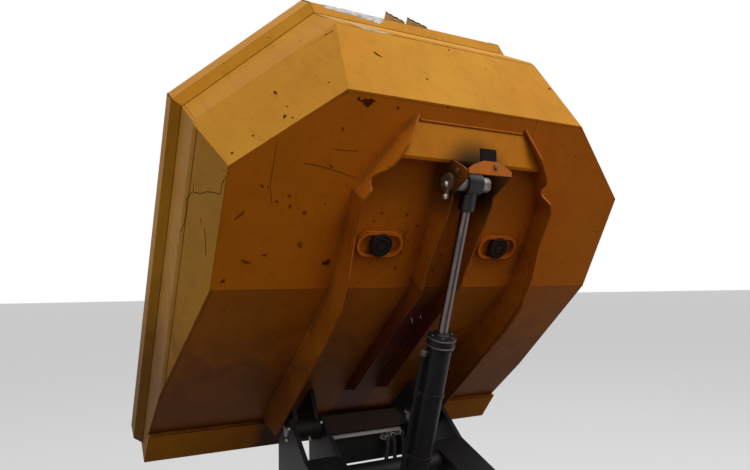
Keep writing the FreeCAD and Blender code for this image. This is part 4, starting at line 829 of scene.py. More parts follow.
class Finish(Enum):
    """Every finish on the machine."""

    # The skip's paint; its under colour is painted shade on faces that look along the skip's own
    # down.
    SKIP = WornPaint("skip_paint", (0.62, 0.285, 0.018), (0.58, 0.235, 0.010), Space.SKIP,
                     chips=0.6, scratches=0.65, grime=0.55, worn_edges=0.7, gloss=0.50,
                     waves=0.006, edge=0.005, dirt=(0.056, 0.013, 0.003),
                     under=(0.60, 0.148, 0.003), spots=0.40, shine=0.11)
    # Painted shade: a deeper orange copy of the skip's paint for the ribs and their weld beads.
    RIB = WornPaint("rib_paint_shaded", (0.60, 0.185, 0.006), (0.50, 0.130, 0.004), Space.SKIP,
                    chips=0.7, scratches=0.7, grime=0.7, worn_edges=0.6, gloss=0.50,
                    waves=0.003, dirt=(0.062, 0.017, 0.006), under=(0.52, 0.125, 0.004), spots=0.30)
    # Painted light: a brighter, redder copy of the skip's paint for the buffer rings.
    RING = WornPaint("ring_paint_lit", (0.80, 0.210, 0.006), (0.70, 0.160, 0.004), Space.SKIP,
                     chips=0.7, scratches=0.5, grime=0.35, worn_edges=0.5, gloss=0.50,
                     waves=0.002, dirt=(0.10, 0.025, 0.008), spots=0.25)
    # Painted shade: a deeper orange copy of the skip's paint for the ram head's cap.
    CAP = WornPaint("cap_paint_shaded", (0.62, 0.175, 0.012), (0.44, 0.105, 0.011), Space.SKIP,
                    chips=1.2, scratches=0.9, grime=0.7, worn_edges=1.2, gloss=0.55,
                    waves=0.002, dirt=(0.070, 0.022, 0.010), spots=0.5)
    # Painted shade: a darker copy of the skip's paint for the cutting edge, darker still across the
    # middle with painted shade and dirt.
    LIP_SHADED = WornPaint("lip_paint_shaded", (0.56, 0.20, 0.010), (0.36, 0.11, 0.010), Space.SKIP,
                    chips=1.0, scratches=1.0, grime=0.6, worn_edges=1.8, gloss=0.60,
                    waves=0.003, edge=0.009, dirt=(0.020, 0.010, 0.008), spots=0.5,
                    shine=0.08, shade_and_dirt_half=0.38)
    BODY = WornPaint("body_paint", (0.62, 0.29, 0.020), (0.56, 0.23, 0.012),
                     chips=0.35, scratches=0.35, grime=0.4, worn_edges=0.3, gloss=0.42,
                     waves=0.003, spots=0.12, shine=0.30)
    CHASSIS = WornPaint("chassis_paint", (0.009, 0.009, 0.011), (0.006, 0.006, 0.008),
                        rust=(0.060, 0.024, 0.012), dirt=(0.036, 0.026, 0.019), chips=0.4,
                        scratches=0.4, grime=0.5, worn_edges=0.35, gloss=0.42, waves=0.002,
                        spots=0.1, shine=0.24)
    # The hinge ears are coloured near black, with a brown dirt.
    EARS = WornPaint("near_black_ear_finish", (0.014, 0.009, 0.007), (0.009, 0.007, 0.006), Space.SKIP,
                     dirt=(0.040, 0.018, 0.010), chips=0.5, grime=0.8, worn_edges=0.5, gloss=0.5)
    WHEEL = WornPaint("wheel_paint", (0.31, 0.31, 0.32), (0.22, 0.22, 0.23),
                      dirt=(0.13, 0.10, 0.07), chips=0.5, grime=0.8, gloss=0.45, waves=0.001,
                      shine=0.30)
    STEEL = Metal("worn_steel", (0.42, 0.40, 0.38), (0.13, 0.06, 0.035), 0.55, 0.42)
    GLAND = Metal("gland_steel", (0.17, 0.135, 0.13), (0.070, 0.040, 0.034), 0.6, 0.48)
    PALE_STEEL = Metal("plated_steel", (0.62, 0.58, 0.50), (0.30, 0.20, 0.12), 0.3, 0.36)
    RUSTED = Metal("rusted_fixing", (0.20, 0.13, 0.075), (0.13, 0.045, 0.018), 0.8, 0.5)
    CHROME = Metal("hard_chrome", (0.42, 0.41, 0.42), (0.22, 0.19, 0.18), 0.06, 0.18,
                   (600.0, 600.0, 25.0))
    # Chrome darkened by a painted reflection, with painted highlight streaks.
    RAM_ROD = RamRod("ram_rod_chrome_painted_reflection")
    IRON = Metal("engine_iron", (0.10, 0.10, 0.10), (0.11, 0.06, 0.04), 0.6, 0.6)
    BUFFER = DullSkin("buffer_rubber", (0.020, 0.010, 0.008), (0.08, 0.03, 0.015), 0.5, 0.75,
                      shine=0.2)
    FLAP = DullSkin("flap_rubber", (0.006, 0.005, 0.005), (0.030, 0.018, 0.012), 0.4, 0.8,
                    shine=0.12)
    HOSE = DullSkin("hose_rubber", (0.008, 0.008, 0.010), (0.050, 0.040, 0.032), 0.3, 0.55, 900.0)
    TYRE = DullSkin("tyre_rubber", (0.024, 0.023, 0.023), (0.19, 0.16, 0.125), 0.55, 0.8, 300.0,
                    0.0005)
    PLASTIC = DullSkin("moulded_plastic", (0.022, 0.022, 0.024), (0.15, 0.14, 0.12), 0.25, 0.45)
    VINYL = Vinyl("seat_vinyl", (0.022, 0.022, 0.024))
    LAMP = Lens("clear_lens", (0.72, 0.74, 0.76))
    TAIL = Lens("red_lens", (0.42, 0.012, 0.010))
    AMBER = Lens("amber_lens", (0.75, 0.22, 0.01))
    # Pale bare steel where paint has peeled, also used as a painted highlight on the front frame's
    # cross plate.
    PALE_PEEL_AND_HIGHLIGHT = DullSkin("pale_peel_and_highlight", (0.62, 0.61, 0.60), (0.34, 0.28, 0.20), 0.5, 0.4, 60.0)
    SMEAR = DullSkin("pale_smear", (0.58, 0.46, 0.28), (0.56, 0.34, 0.10), 0.8, 0.8, 60.0,
                     shine=0.1)
    CRACK = DullSkin("dark_crack", (0.045, 0.018, 0.006), (0.12, 0.05, 0.02), 0.4, 0.9, 200.0,
                     shine=0.05)
    RUST = DullSkin("rust_bloom", (0.100, 0.018, 0.004), (0.20, 0.05, 0.008), 0.6, 0.92, 500.0,
                    shine=0.05)
    STAIN = DullSkin("old_stain", (0.30, 0.062, 0.003), (0.22, 0.045, 0.003), 0.8, 0.9, 300.0,
                     shine=0.05)

    @property
    def slot(self) -> str:
        """The record's material slot that goes with this finish."""
        return next((slot for slot, names in SLOTS.items() if self.name in names), "skip_paint")


@dataclass(frozen=True)
class Viewpoint:
    """The photograph's viewpoint, fitted to the skip's edges."""

    place: Vector = Vector((-0.8686, 1.3262, 1.6202))
    yaw: float = math.radians(-29.13)
    pitch: float = math.radians(5.45)
    roll: float = math.radians(-1.03)
    reach: float = 619.6
    width: int = 750
    height: int = 470
    sensor: float = 36.0

    def axes(self) -> tuple[Vector, Vector, Vector]:
        """Right, up and forward of the picture."""
        forward = Vector((math.cos(self.yaw) * math.cos(self.pitch),
                          math.sin(self.yaw) * math.cos(self.pitch), math.sin(self.pitch)))
        level = Vector((math.sin(self.yaw), -math.cos(self.yaw), 0.0))
        above = level.cross(forward)
        right = math.cos(self.roll) * level + math.sin(self.roll) * above
        return right, right.cross(forward), forward

    def ray(self, x: float, y: float) -> Vector:
        """Direction through a pixel of the photograph."""
        right, up, forward = self.axes()
        step = forward + right * ((x - self.width / 2) / self.reach)
        return (step - up * ((y - self.height / 2) / self.reach)).normalized()

    def hit(self, node: bpy.types.Object, x: float, y: float) -> tuple[Vector, Vector]:
        """Where a pixel's line meets a solid, and the surface's direction there."""
        found, point, normal, _ = node.ray_cast(self.place, self.ray(x, y))
        if not found:
            raise ValueError(f"pixel {x}, {y} misses {node.name}")
        return point, normal

    def camera(self) -> None:
        """Make the camera."""
        data = bpy.data.cameras.new("photo_view")
        data.sensor_width = self.sensor
        data.lens = self.reach * self.sensor / self.width
        data.clip_start = 0.05
        data.clip_end = 1000.0
        right, up, forward = self.axes()
        turn = Matrix((right, up, -forward)).transposed().to_4x4()
        made = linked("photo_view", data)
        made.matrix_world = Matrix.Translation(self.place) @ turn
        bpy.context.scene.camera = made


@dataclass
class Assembly:
    """A group of pieces that is dressed and trimmed together."""

    shop: Shop
    home: ClassVar[Body] = Body.REAR

    def build(self) -> None:
        """Dress the group's solids and add its trim."""
        raise NotImplementedError

    def piece(self, name: str, finish: Finish, parts: Iterable[Placed], body: Body | None = None,
              slot: str | None = None, smooth: float = 38.0) -> bpy.types.Object:
        """Join parts and finish them as a piece of the machine.

        Args:
            name: the piece's name.
            finish: its finish.
            parts: its parts, each with its placement.
            body: the body that it rides on, or the group's own.
            slot: not used.
            smooth: angle in degrees above which an edge stays sharp.

        Returns:
            The new object.
        """
        bm = joined(parts)
        bmesh.ops.remove_doubles(bm, verts=bm.verts, dist=MERGE)
        mesh = meshed(name, bm)
        mesh.shade_smooth()
        mesh.set_sharp_from_angle(angle=math.radians(smooth))
        mesh.materials.append(self.shop.material(finish))
        made = linked(name, mesh)
        body = body or self.home
        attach(made, body.value)
        LOG.info("made %s on %s, %d faces", name, body.value, len(mesh.polygons))
        return made


@dataclass
class Skip(Assembly):
    """The raised skip: weld beads, fixings and the marks that years of work have left.

    Sizes are in metres of the level skip's own frame: x forward from the rear rim, z up from
    under the floor.
    """

    view: Viewpoint
    home: ClassVar[Body] = Body.SKIP
    rib_y: float = 0.405
    rib_half: float = 0.004
    rib_ends: Pair = (0.530, 1.740)
    lap_ends: Pair = (0.715, 1.500)
    wing_root: Pair = (0.250, 0.231)
    inner_y: float = 0.087
    inner_ends: Pair = (0.372, 0.850)
    inner_front: Pair = (0.862, 1.560)
    beam_feet: tuple[Pair, ...] = ((0.268, 0.22), (0.396, 0.30))
    ring: Pair = (0.716, 0.262)
    ring_half: Pair = (0.048, 0.092)
    buffer_face: float = -0.0258
    rim_half: float = 0.920
    rim_rear_half: float = 0.451
    corner_len: float = 0.408
    ear_y: Pair = (0.241, 0.357)
    ear_ends: Pair = (1.535, 1.725)
    strip_z: float = 0.598

    def build(self) -> None:
        """Dress the skip, weld it up and age it."""
        self.shop.dress({Finish.SKIP: "skip_shell skip_rim skip_cross_beam",
                         Finish.LIP_SHADED: "skip_cutting_edge", Finish.RIB: "skip_ribs*",
                         Finish.RING: "skip_buffer_rings", Finish.CAP: "ram_head_cap",
                         Finish.EARS: "skip_hinge_ears", Finish.RUSTED: "ram_head_fixings",
                         Finish.BUFFER: "skip_buffers", Finish.FLAP: "ram_head_flap"})
        self.welds()
        self.fixings()
        self.cracks()
        self.marks()
        self.torn_strip()

    def node(self, name: str) -> bpy.types.Object:
        """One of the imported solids."""
        return self.shop.frame["nodes"][name]

    def foot(self, x: float, y: float, lift: float = 0.001) -> Vector:
        """A point just below the floor or the sloping panel."""
        return Vector((x, y, max(0.0, (x - FLOOR_FOLD_X) * PANEL_SLOPE) - lift))

    def foot_run(self, start: float, end: float, y: float) -> list[tuple[Vector, Vector]]:
        """The straight lengths of a foot along the skip, broken at the floor's fold."""
        stops = [x for x in (start, FLOOR_FOLD_X, end) if start <= x <= end]
        return [(self.foot(a, y), self.foot(b, y)) for a, b in zip(stops, stops[1:])]

    def ring_run(self) -> list[tuple[Vector, Vector]]:
        """Short lengths round the oval seat of a buffer."""
        small, flat = self.ring_half[0], self.ring_half[1] - self.ring_half[0]
        spots = []
        for step in range(33):
            turn = math.tau * step / 32
            side = flat if math.sin(turn) >= 0 else -flat
            spots.append(self.foot(self.ring[0] + small * math.cos(turn),
                                   self.ring[1] + side + small * math.sin(turn)))
        return list(zip(spots, spots[1:]))

    @staticmethod
    def beads(runs: Iterable[tuple[Vector, Vector]], *sizes: float) -> list[Placed]:
        """Weld beads along runs of the skip's left half, and their mirror images."""
        return [(bead, RAISED @ side) for bead in (Stock.bead(*run, *sizes) for run in runs)
                for side in BOTH]

    def welds(self) -> None:
        """Lay weld beads at the feet of all stiffeners and down the rim's corners."""
        half = self.rib_half
        runs = self.foot_run(*self.rib_ends, self.rib_y + half)
        runs += self.foot_run(*self.lap_ends, self.rib_y - 3 * half)
        wing = Vector((self.rib_ends[0] - self.wing_root[0], self.rib_y - self.wing_root[1]))
        for side in (-half, half):
            runs += self.foot_run(*self.inner_ends, self.inner_y + side)
            off = Vector((-wing.y, wing.x)).normalized() * side
            runs.append((self.foot(self.wing_root[0] + off.x, self.wing_root[1] + off.y),
                         self.foot(self.rib_ends[0] + off.x, self.rib_y + off.y)))
        runs += self.foot_run(*self.inner_front, self.inner_y - 3 * half)
        runs += self.ring_run()
        runs += [(self.foot(x, 0.0), self.foot(x, reach)) for x, reach in self.beam_feet]
        runs += [tuple(self.foot(x, y) for x in self.ear_ends) for y in self.ear_y]
        self.piece("skip_weld_beads", Finish.RIB, self.beads(runs), smooth=80)
        seams = [[Vector((*foot, z)) for z in ends] for foot, ends in (
            ((0.0, self.rim_rear_half), (0.578, 0.655)),
            ((self.corner_len - 0.0023, self.rim_half - 0.0027), (0.486, 0.568)))]
        self.piece("skip_rim_seams", Finish.SKIP, self.beads(seams, 0.0019, 0.006), smooth=80)

    def fixings(self) -> None:
        """Bolts of the keeper, grease nipples, two bright pins and the buffers' moulded rings."""
        parts = [(head, RAISED @ place) for head, place in Stock.bolts(
            0.0085, 0.007, [(x, self.inner_y + 0.026, z) for x, z in ((0.452, -0.089),
                                                                     (0.492, -0.102))],
            (0, 1, 0), 0.3)]
        # Each step of a nipple: z, radius, length, sides
        parts += [(Stock.drum(radius, length, sides, 0.001),
                   RAISED @ aimed((1.647, y, z), DOWN)) for y in (-0.299, 0.299)
                  for z, radius, length, sides in ((0.110, 0.006, 0.012, 6),
                                                   (0.098, 0.003, 0.010, 12))]
        parts.append((Stock.drum(0.0065, 0.009, 6, 0.0015),
                      self.on_picture(self.node("skip_hinge_ears"), 321.0, 423.0)))
        for x, y, length in ((411.8, 320.0, 0.044), (420.5, 316.5, 0.028)):
            lying = (Matrix.Translation((-length / 2, 0.0, 0.0035))
                     @ Matrix.Rotation(math.pi / 2, 4, "Y"))
            place = self.on_picture(self.node("skip_shell"), x, y, (0.25, 0.97))
            parts.append((Stock.drum(0.0028, length, 12, 0.0008), place @ lying))
        self.piece("skip_fixings", Finish.PALE_STEEL, parts)
        self.piece("buffer_moulded_rings", Finish.FLAP, [
            (Stock.band(inner, outer, 0.0, 0.0008, 44),
             RAISED @ aimed((self.ring[0], y, self.buffer_face), DOWN))
            for y in (-self.ring[1], self.ring[1])
            for inner, outer in ((0.017, 0.025), (0.033, 0.038))])

    def along(self, pixels: Sequence[Pair], step: float = 4.0) -> list[Vector]:
        """Points on the skip's shell under a line drawn over the photograph.

        Args:
            pixels: corners of the line.
            step: spacing of the points in pixels.

        Returns:
            The points on the plate.
        """
        found = []
        for (ax, ay), (bx, by) in zip(pixels, pixels[1:]):
            count = max(1, round(math.hypot(bx - ax, by - ay) / step))
            for i in range(count):
                spot, normal = self.view.hit(self.node("skip_shell"), ax + (bx - ax) * i / count,
                                             ay + (by - ay) * i / count)
                found.append(spot + normal * 0.0002)
        return found

    def on_picture(self, node: bpy.types.Object, x: float, y: float,
                   lean: Pair = (1.0, 0.0)) -> Matrix:
        """A placement on a solid under a pixel, its X along a direction of the picture."""
        spot, normal = self.view.hit(node, x, y)
        ahead = self.view.ray(x + 3 * lean[0], y + 3 * lean[1])
        share = (spot - self.view.place).dot(normal) / ahead.dot(normal)
        return laid(spot, self.view.place + ahead * share - spot, normal)

    @staticmethod
    def patch(length: float, width: float, seed: int) -> Shape:
        """A thin ragged patch of a half length and half width, flat on Z nought."""
        bm = Stock.drum(1.0, 1.0, 34)
        for vert in bm.verts:
            turn = math.atan2(vert.co.y, vert.co.x)
            ragged = 1 + sum(share * math.sin(waves * turn + shift * seed) for share, waves, shift
                             in ((0.20, 3, 1.0), (0.16, 7, 2.1), (0.12, 13, 0.7)))
            vert.co = (vert.co.x * ragged * length, vert.co.y * ragged * width,
                       0.0005 * vert.co.z)
        return bm

    def patches(self, name: str, finish: Finish, node: str,
                table: Iterable[tuple[float, float, float, float]], first: int = 0,
                lean: Pair | None = None) -> None:
        """Lay ragged patches on a solid as one piece.

        Args:
            name: the piece's name.
            finish: its finish.
            node: the solid.
            table: pixel x, pixel y, half length and half width of each patch.
            first: seed of the first patch's outline.
            lean: direction of the patches in the picture, or each its own.
        """
        self.piece(name, finish, [
            (self.patch(length, width, seed + first),
             self.on_picture(self.node(node), x, y, lean or (math.cos(seed), math.sin(seed))))
            for seed, (x, y, length, width) in enumerate(table)])

    def cracks(self) -> None:
        """The crack of the left wall with its branches, and thin scratches on the floor."""
        # Half thickness, then the line's corners in pixels
        lines = (
            (0.0011, ((229.5, 173), (226, 176.6), (222, 183.4), (220.7, 194.5), (214.6, 192.6),
                      (206.6, 191.4), (202, 193.7), (195, 192.6), (191.7, 191.4), (189.4, 196),
                      (186, 199.4), (186.5, 205), (186, 214), (184.2, 223.4), (180.5, 232))),
            (0.0009, ((222.8, 169.8), (226.5, 171.4), (229.5, 173.0))),
            (0.0008, ((194.2, 183.6), (193.0, 187.0), (193.6, 191.4))),
            (0.0012, ((204.3, 228.2), (205.6, 240.0), (206.0, 255.0))),
            (0.0008, ((200.9, 218.0), (201.2, 225.0))),
            (0.0007, ((303.7, 162.9), (318.0, 165.4), (330.0, 168.8), (357.0, 178.0))),
            (0.0006, ((332.0, 148.8), (345.0, 150.4), (358.0, 151.2))),
            (0.0006, ((272.0, 204.0), (270.0, 186.0), (274.0, 160.0), (277.0, 142.0))),
            (0.0007, ((399.4, 229.0), (403.0, 232.5), (408.5, 233.0))),
            (0.0008, ((409.0, 228.5), (404.5, 234.0), (401.0, 241.0))),
            (0.0007, ((403.0, 231.0), (405.5, 238.0), (404.0, 245.0))),
            (0.0007, ((398.0, 237.0), (404.0, 238.5), (409.0, 241.0))),
            (0.0007, ((313.0, 12.6), (318.0, 15.5), (326.0, 18.0))))
        self.piece("skip_cracks", Finish.CRACK, [
            (Stock.tube(self.along((*pixels, pixels[-1])), radius, 1), BOTH[0])
            for radius, pixels in lines])

    def marks(self) -> None:
        """Rust blooms and stains on the plate, and the pale smear under the rear rim."""
        self.patches("skip_rust_blooms", Finish.RUST, "skip_shell", (
            (368, 102, 0.021, 0.012), (359, 99, 0.007, 0.005), (398, 108, 0.005, 0.004),
            (427, 79, 0.005, 0.003), (275.4, 92.7, 0.011, 0.004), (284.7, 116.5, 0.008, 0.005),
            (287.3, 106.5, 0.004, 0.002), (292.7, 117.6, 0.004, 0.003), (232.2, 153, 0.005, 0.004),
            (326.3, 262.6, 0.015, 0.010), (377.5, 54.5, 0.017, 0.005), (449, 50, 0.006, 0.003),
            (223, 281, 0.008, 0.005), (349, 271, 0.005, 0.004), (512, 175, 0.007, 0.004),
            (518, 168, 0.004, 0.003)))
        self.patches("skip_old_stains", Finish.STAIN, "skip_shell", (
            (289.5, 196, 0.007, 0.005), (277, 201.7, 0.006, 0.004), (290, 206.3, 0.007, 0.005),
            (304.4, 212.7, 0.008, 0.006), (262, 186, 0.007, 0.004), (343, 129, 0.006, 0.004),
            (265, 255, 0.009, 0.004), (331, 166, 0.010, 0.003), (420, 262, 0.008, 0.005),
            (433, 270, 0.007, 0.006), (441, 255, 0.006, 0.005), (395, 268, 0.007, 0.004),
            (382, 213, 0.006, 0.005), (374, 221, 0.006, 0.004), (253.4, 135.4, 0.005, 0.003),
            (240, 215, 0.020, 0.004), (246, 262, 0.016, 0.005), (300, 245, 0.012, 0.007),
            (407, 215, 0.006, 0.005), (417, 226, 0.006, 0.004), (400, 252, 0.010, 0.005)))
        self.patches("skip_pale_smear", Finish.SMEAR, "skip_shell", (
            (333, 18.0, 0.060, 0.030), (350, 22.5, 0.055, 0.030), (364, 27.6, 0.050, 0.009),
            (378, 31.4, 0.046, 0.008)), 4, (0.962, 0.273))

    def torn_strip(self) -> None:
        """The rear rim's edge strip: bare where it has peeled, with torn ends that curl up."""
        leaves, tears = [], []
        # Across the skip, length, and lift of the loose end
        for y, length, lift in ((0.073, 0.096, 0.028), (-0.033, 0.104, 0.025)):
            place = RAISED @ laid((0.0, y, self.strip_z), (0, -1, 0), (-1, 0, 0))
            for target, size, edge in ((leaves, (length, 0.0014, 1.0), False),
                                       (tears, (length, 0.0030, 0.0032), True)):
                leaf = Stock.block(size)
                run = [e for e in leaf.edges if abs(e.verts[0].co.x - e.verts[1].co.x) > 1e-4]
                bmesh.ops.subdivide_edges(leaf, edges=run, cuts=11)
                for vert in leaf.verts:
                    share = 0.5 - vert.co.x / length
                    top = lift * (0.22 + 0.78 * share) + 0.0016 * math.sin(23 * share + 60 * y)
                    vert.co.z = top + vert.co.z if edge else top * (vert.co.z + 0.5)
                    vert.co.y += 0.003 * math.sin(11 * share)
                target.append((leaf, place))
        self.patches("rim_bare_strip", Finish.PALE_PEEL_AND_HIGHLIGHT, "skip_rim", (
            (334, 8.6, 0.050, 0.008), (348, 12.4, 0.056, 0.011), (362, 16.2, 0.056, 0.013),
            (374, 19.4, 0.044, 0.014)), 2, (0.971, 0.240))
        self.piece("rim_torn_leaves", Finish.SMEAR, leaves)
        self.piece("rim_torn_edges", Finish.RUST, tears)


@dataclass
class TippingRam(Assembly):
    """The ram that raises the skip, with its pipe fittings, gland and nipples."""

    home: ClassVar[Body] = Body.RAM_BARREL
    gland_rings: Pair = (0.750, 0.778)
    gland_top: float = 0.790
    gland_r: float = 0.052
    screw_circle: float = 0.042
    barrel_r: float = 0.046
    rod_r: float = 0.018
    pipe_off: float = 0.068
    pipe_ends: Pair = (0.170, 0.725)
    clips: Pair = (0.300, 0.560)

    def build(self) -> None:
        """Dress the ram and fit it out."""
        self.shop.dress({Finish.CHASSIS: "tip_ram_barrel", Finish.RAM_ROD: "tip_ram_rod",
                         Finish.STEEL: "ram_eye_pin"})
        up = (RAISED @ RAM_EYE_OWN - RAM_BASE).normalized()
        foot, across = aimed(RAM_BASE, up), Vector((0.0, self.pipe_off, 0.0))
        inner, outer = self.gland_r, self.gland_r + 0.0022
        parts = [(Stock.turned([(inner, z), (outer, z + 0.002), (outer, z + 0.005),
                                (inner, z + 0.007)], 40), foot) for z in self.gland_rings]
        parts += [(Stock.drum(0.0052, 0.004, 6, 0.0006),
                   foot @ Matrix.Translation((dx, dy, self.gland_top)))
                  for dx, dy, _ in around(6, self.screw_circle)]
        self.piece("ram_gland_trim", Finish.GLAND, parts)
        self.piece("ram_wiper", Finish.HOSE, [(Stock.turned([
            (self.rod_r + out, z) for out, z in ((0.001, 0.790), (0.010, 0.790), (0.008, 0.796),
                                                 (0.001, 0.799))], 40), foot)])
        parts = [(Stock.drum(0.0135, 0.022, 6, 0.0015),
                  aimed(RAM_BASE + up * (end - 0.011) + across, up)) for end in self.pipe_ends]
        parts.append((Stock.drum(0.005, 0.012, 6, 0.0008),
                      aimed(RAM_BASE + up * 0.11 + Vector((0, -0.027, 0)), (0, -1, 0))))
        self.piece("ram_pipe_nuts", Finish.GLAND, parts)
        parts = []
        for middle in (RAM_BASE + up * end for end in self.clips):
            parts += [(Stock.band(self.barrel_r + 0.0004, self.barrel_r + 0.003, -0.009, 0.009),
                       aimed(middle, up)),
                      (Stock.block((0.018, 0.026, 0.020), 0.002),
                       aimed(middle + across * 0.84, up, math.pi / 2))]
        self.piece("ram_pipe_clips", Finish.CHASSIS, parts)


@dataclass
class FrontFrame(Assembly):
    """The front frame with its axle clamps, hose fittings, pins and bolts."""

    home: ClassVar[Body] = Body.FRONT
    hoses: tuple[Pair, ...] = ((-0.117, 0.968), (-0.148, 0.978), (-0.195, 0.980))
    member_y: float = 0.299
    clamp: Pair = (0.070, 0.048)
    lug_half: float = 0.0803
    lug_bolts: float = 0.033

    def build(self) -> None:
        """Dress the front frame and bolt it up."""
        self.shop.dress({Finish.CHASSIS: "front_frame front_axle steer_ram_barrel",
                         Finish.STEEL: "front_frame_pins", Finish.CHROME: "steer_ram_rod",
                         Finish.HOSE: "hydraulic_hoses"})
        parts = []
        for y, z in self.hoses:
            parts += [(Stock.drum(radius, length, 6, 0.0012), aimed(row(x, y, z), AHEAD))
                      for x, radius, length in ((1.834, 0.0125, 0.016), (1.850, 0.0150, 0.010))]
            ferrule = Stock.turned([(0.0092, 0.0), (0.0118, 0.002), (0.0118, 0.022),
                                    (0.0092, 0.024)], 28)
            parts.append((ferrule, aimed(row(1.810, y, z), AHEAD)))
        self.piece("hose_fittings", Finish.PALE_STEEL, parts)
        parts = []
        for side in (-1, 1):
            for dx in (-self.clamp[0], self.clamp[0]):
                for dy in (-self.clamp[1], self.clamp[1]):
                    x, y = AXLES["front"] + dx, side * (self.member_y + dy)
                    parts += [(Stock.drum(0.008, 0.150, 16, 0.001), aimed(row(x, y, 0.352), UP)),
                              (Stock.bolt(0.014, 0.013), aimed(row(x, y, 0.364), DOWN))]
                strap_y = side * (self.member_y + math.copysign(self.clamp[1], dx))
                parts.append((Stock.block((0.170, 0.024, 0.012), 0.003),
                              at(AXLES["front"], strap_y, 0.366)))
        self.piece("front_axle_clamps", Finish.CHASSIS, parts)
        parts = []
        for side in (-1, 1):
            for out in (-1, 1):
                y = side * (self.member_y + out * self.lug_half)
                parts += Stock.bolts(0.0062, 0.006, [
                    row(1.780 + dx, y, 1.061 + dz) for dx, dz, _ in around(3, self.lug_bolts, 0.5)],
                    (0, side * out, 0))
        self.piece("hinge_bolts", Finish.PALE_STEEL, parts)
        self.welds()

    def welds(self) -> None:
        """Weld beads of the cross plate, cheeks and transom, and a pale strip of painted highlight
        along the plate's top edge.
        """
        # Start and end of each bead, as x and z, and its distance from the middle
        runs = [((1.860, 0.875), (1.860, 0.985), 0.219), ((1.872, 0.875), (1.872, 0.985), -0.219)]
        runs += [((1.530, 0.888), (1.452, 0.770), y) for y in (0.034, -0.034)]
        runs += [((0.170, foot), (0.170, 0.398), y) for y, foot in (
            (0.219, 0.300), (-0.219, 0.300), (0.379, 0.302), (-0.379, 0.302))]
        self.piece("front_frame_welds", Finish.CHASSIS, [
            (Stock.bead(row(start[0], y, start[1]), row(end[0], y, end[1])), BOTH[0])
            for start, end, y in runs], smooth=80)
        # Painted highlight: a pale strip along the cross plate's top edge.
        self.piece("cross_plate_painted_highlight", Finish.PALE_PEEL_AND_HIGHLIGHT, [
            (Stock.block((0.024, 0.385, 0.0125), 0.0012, 1), at(1.8374, -0.006, 0.9972))],
            slot="frame_paint")


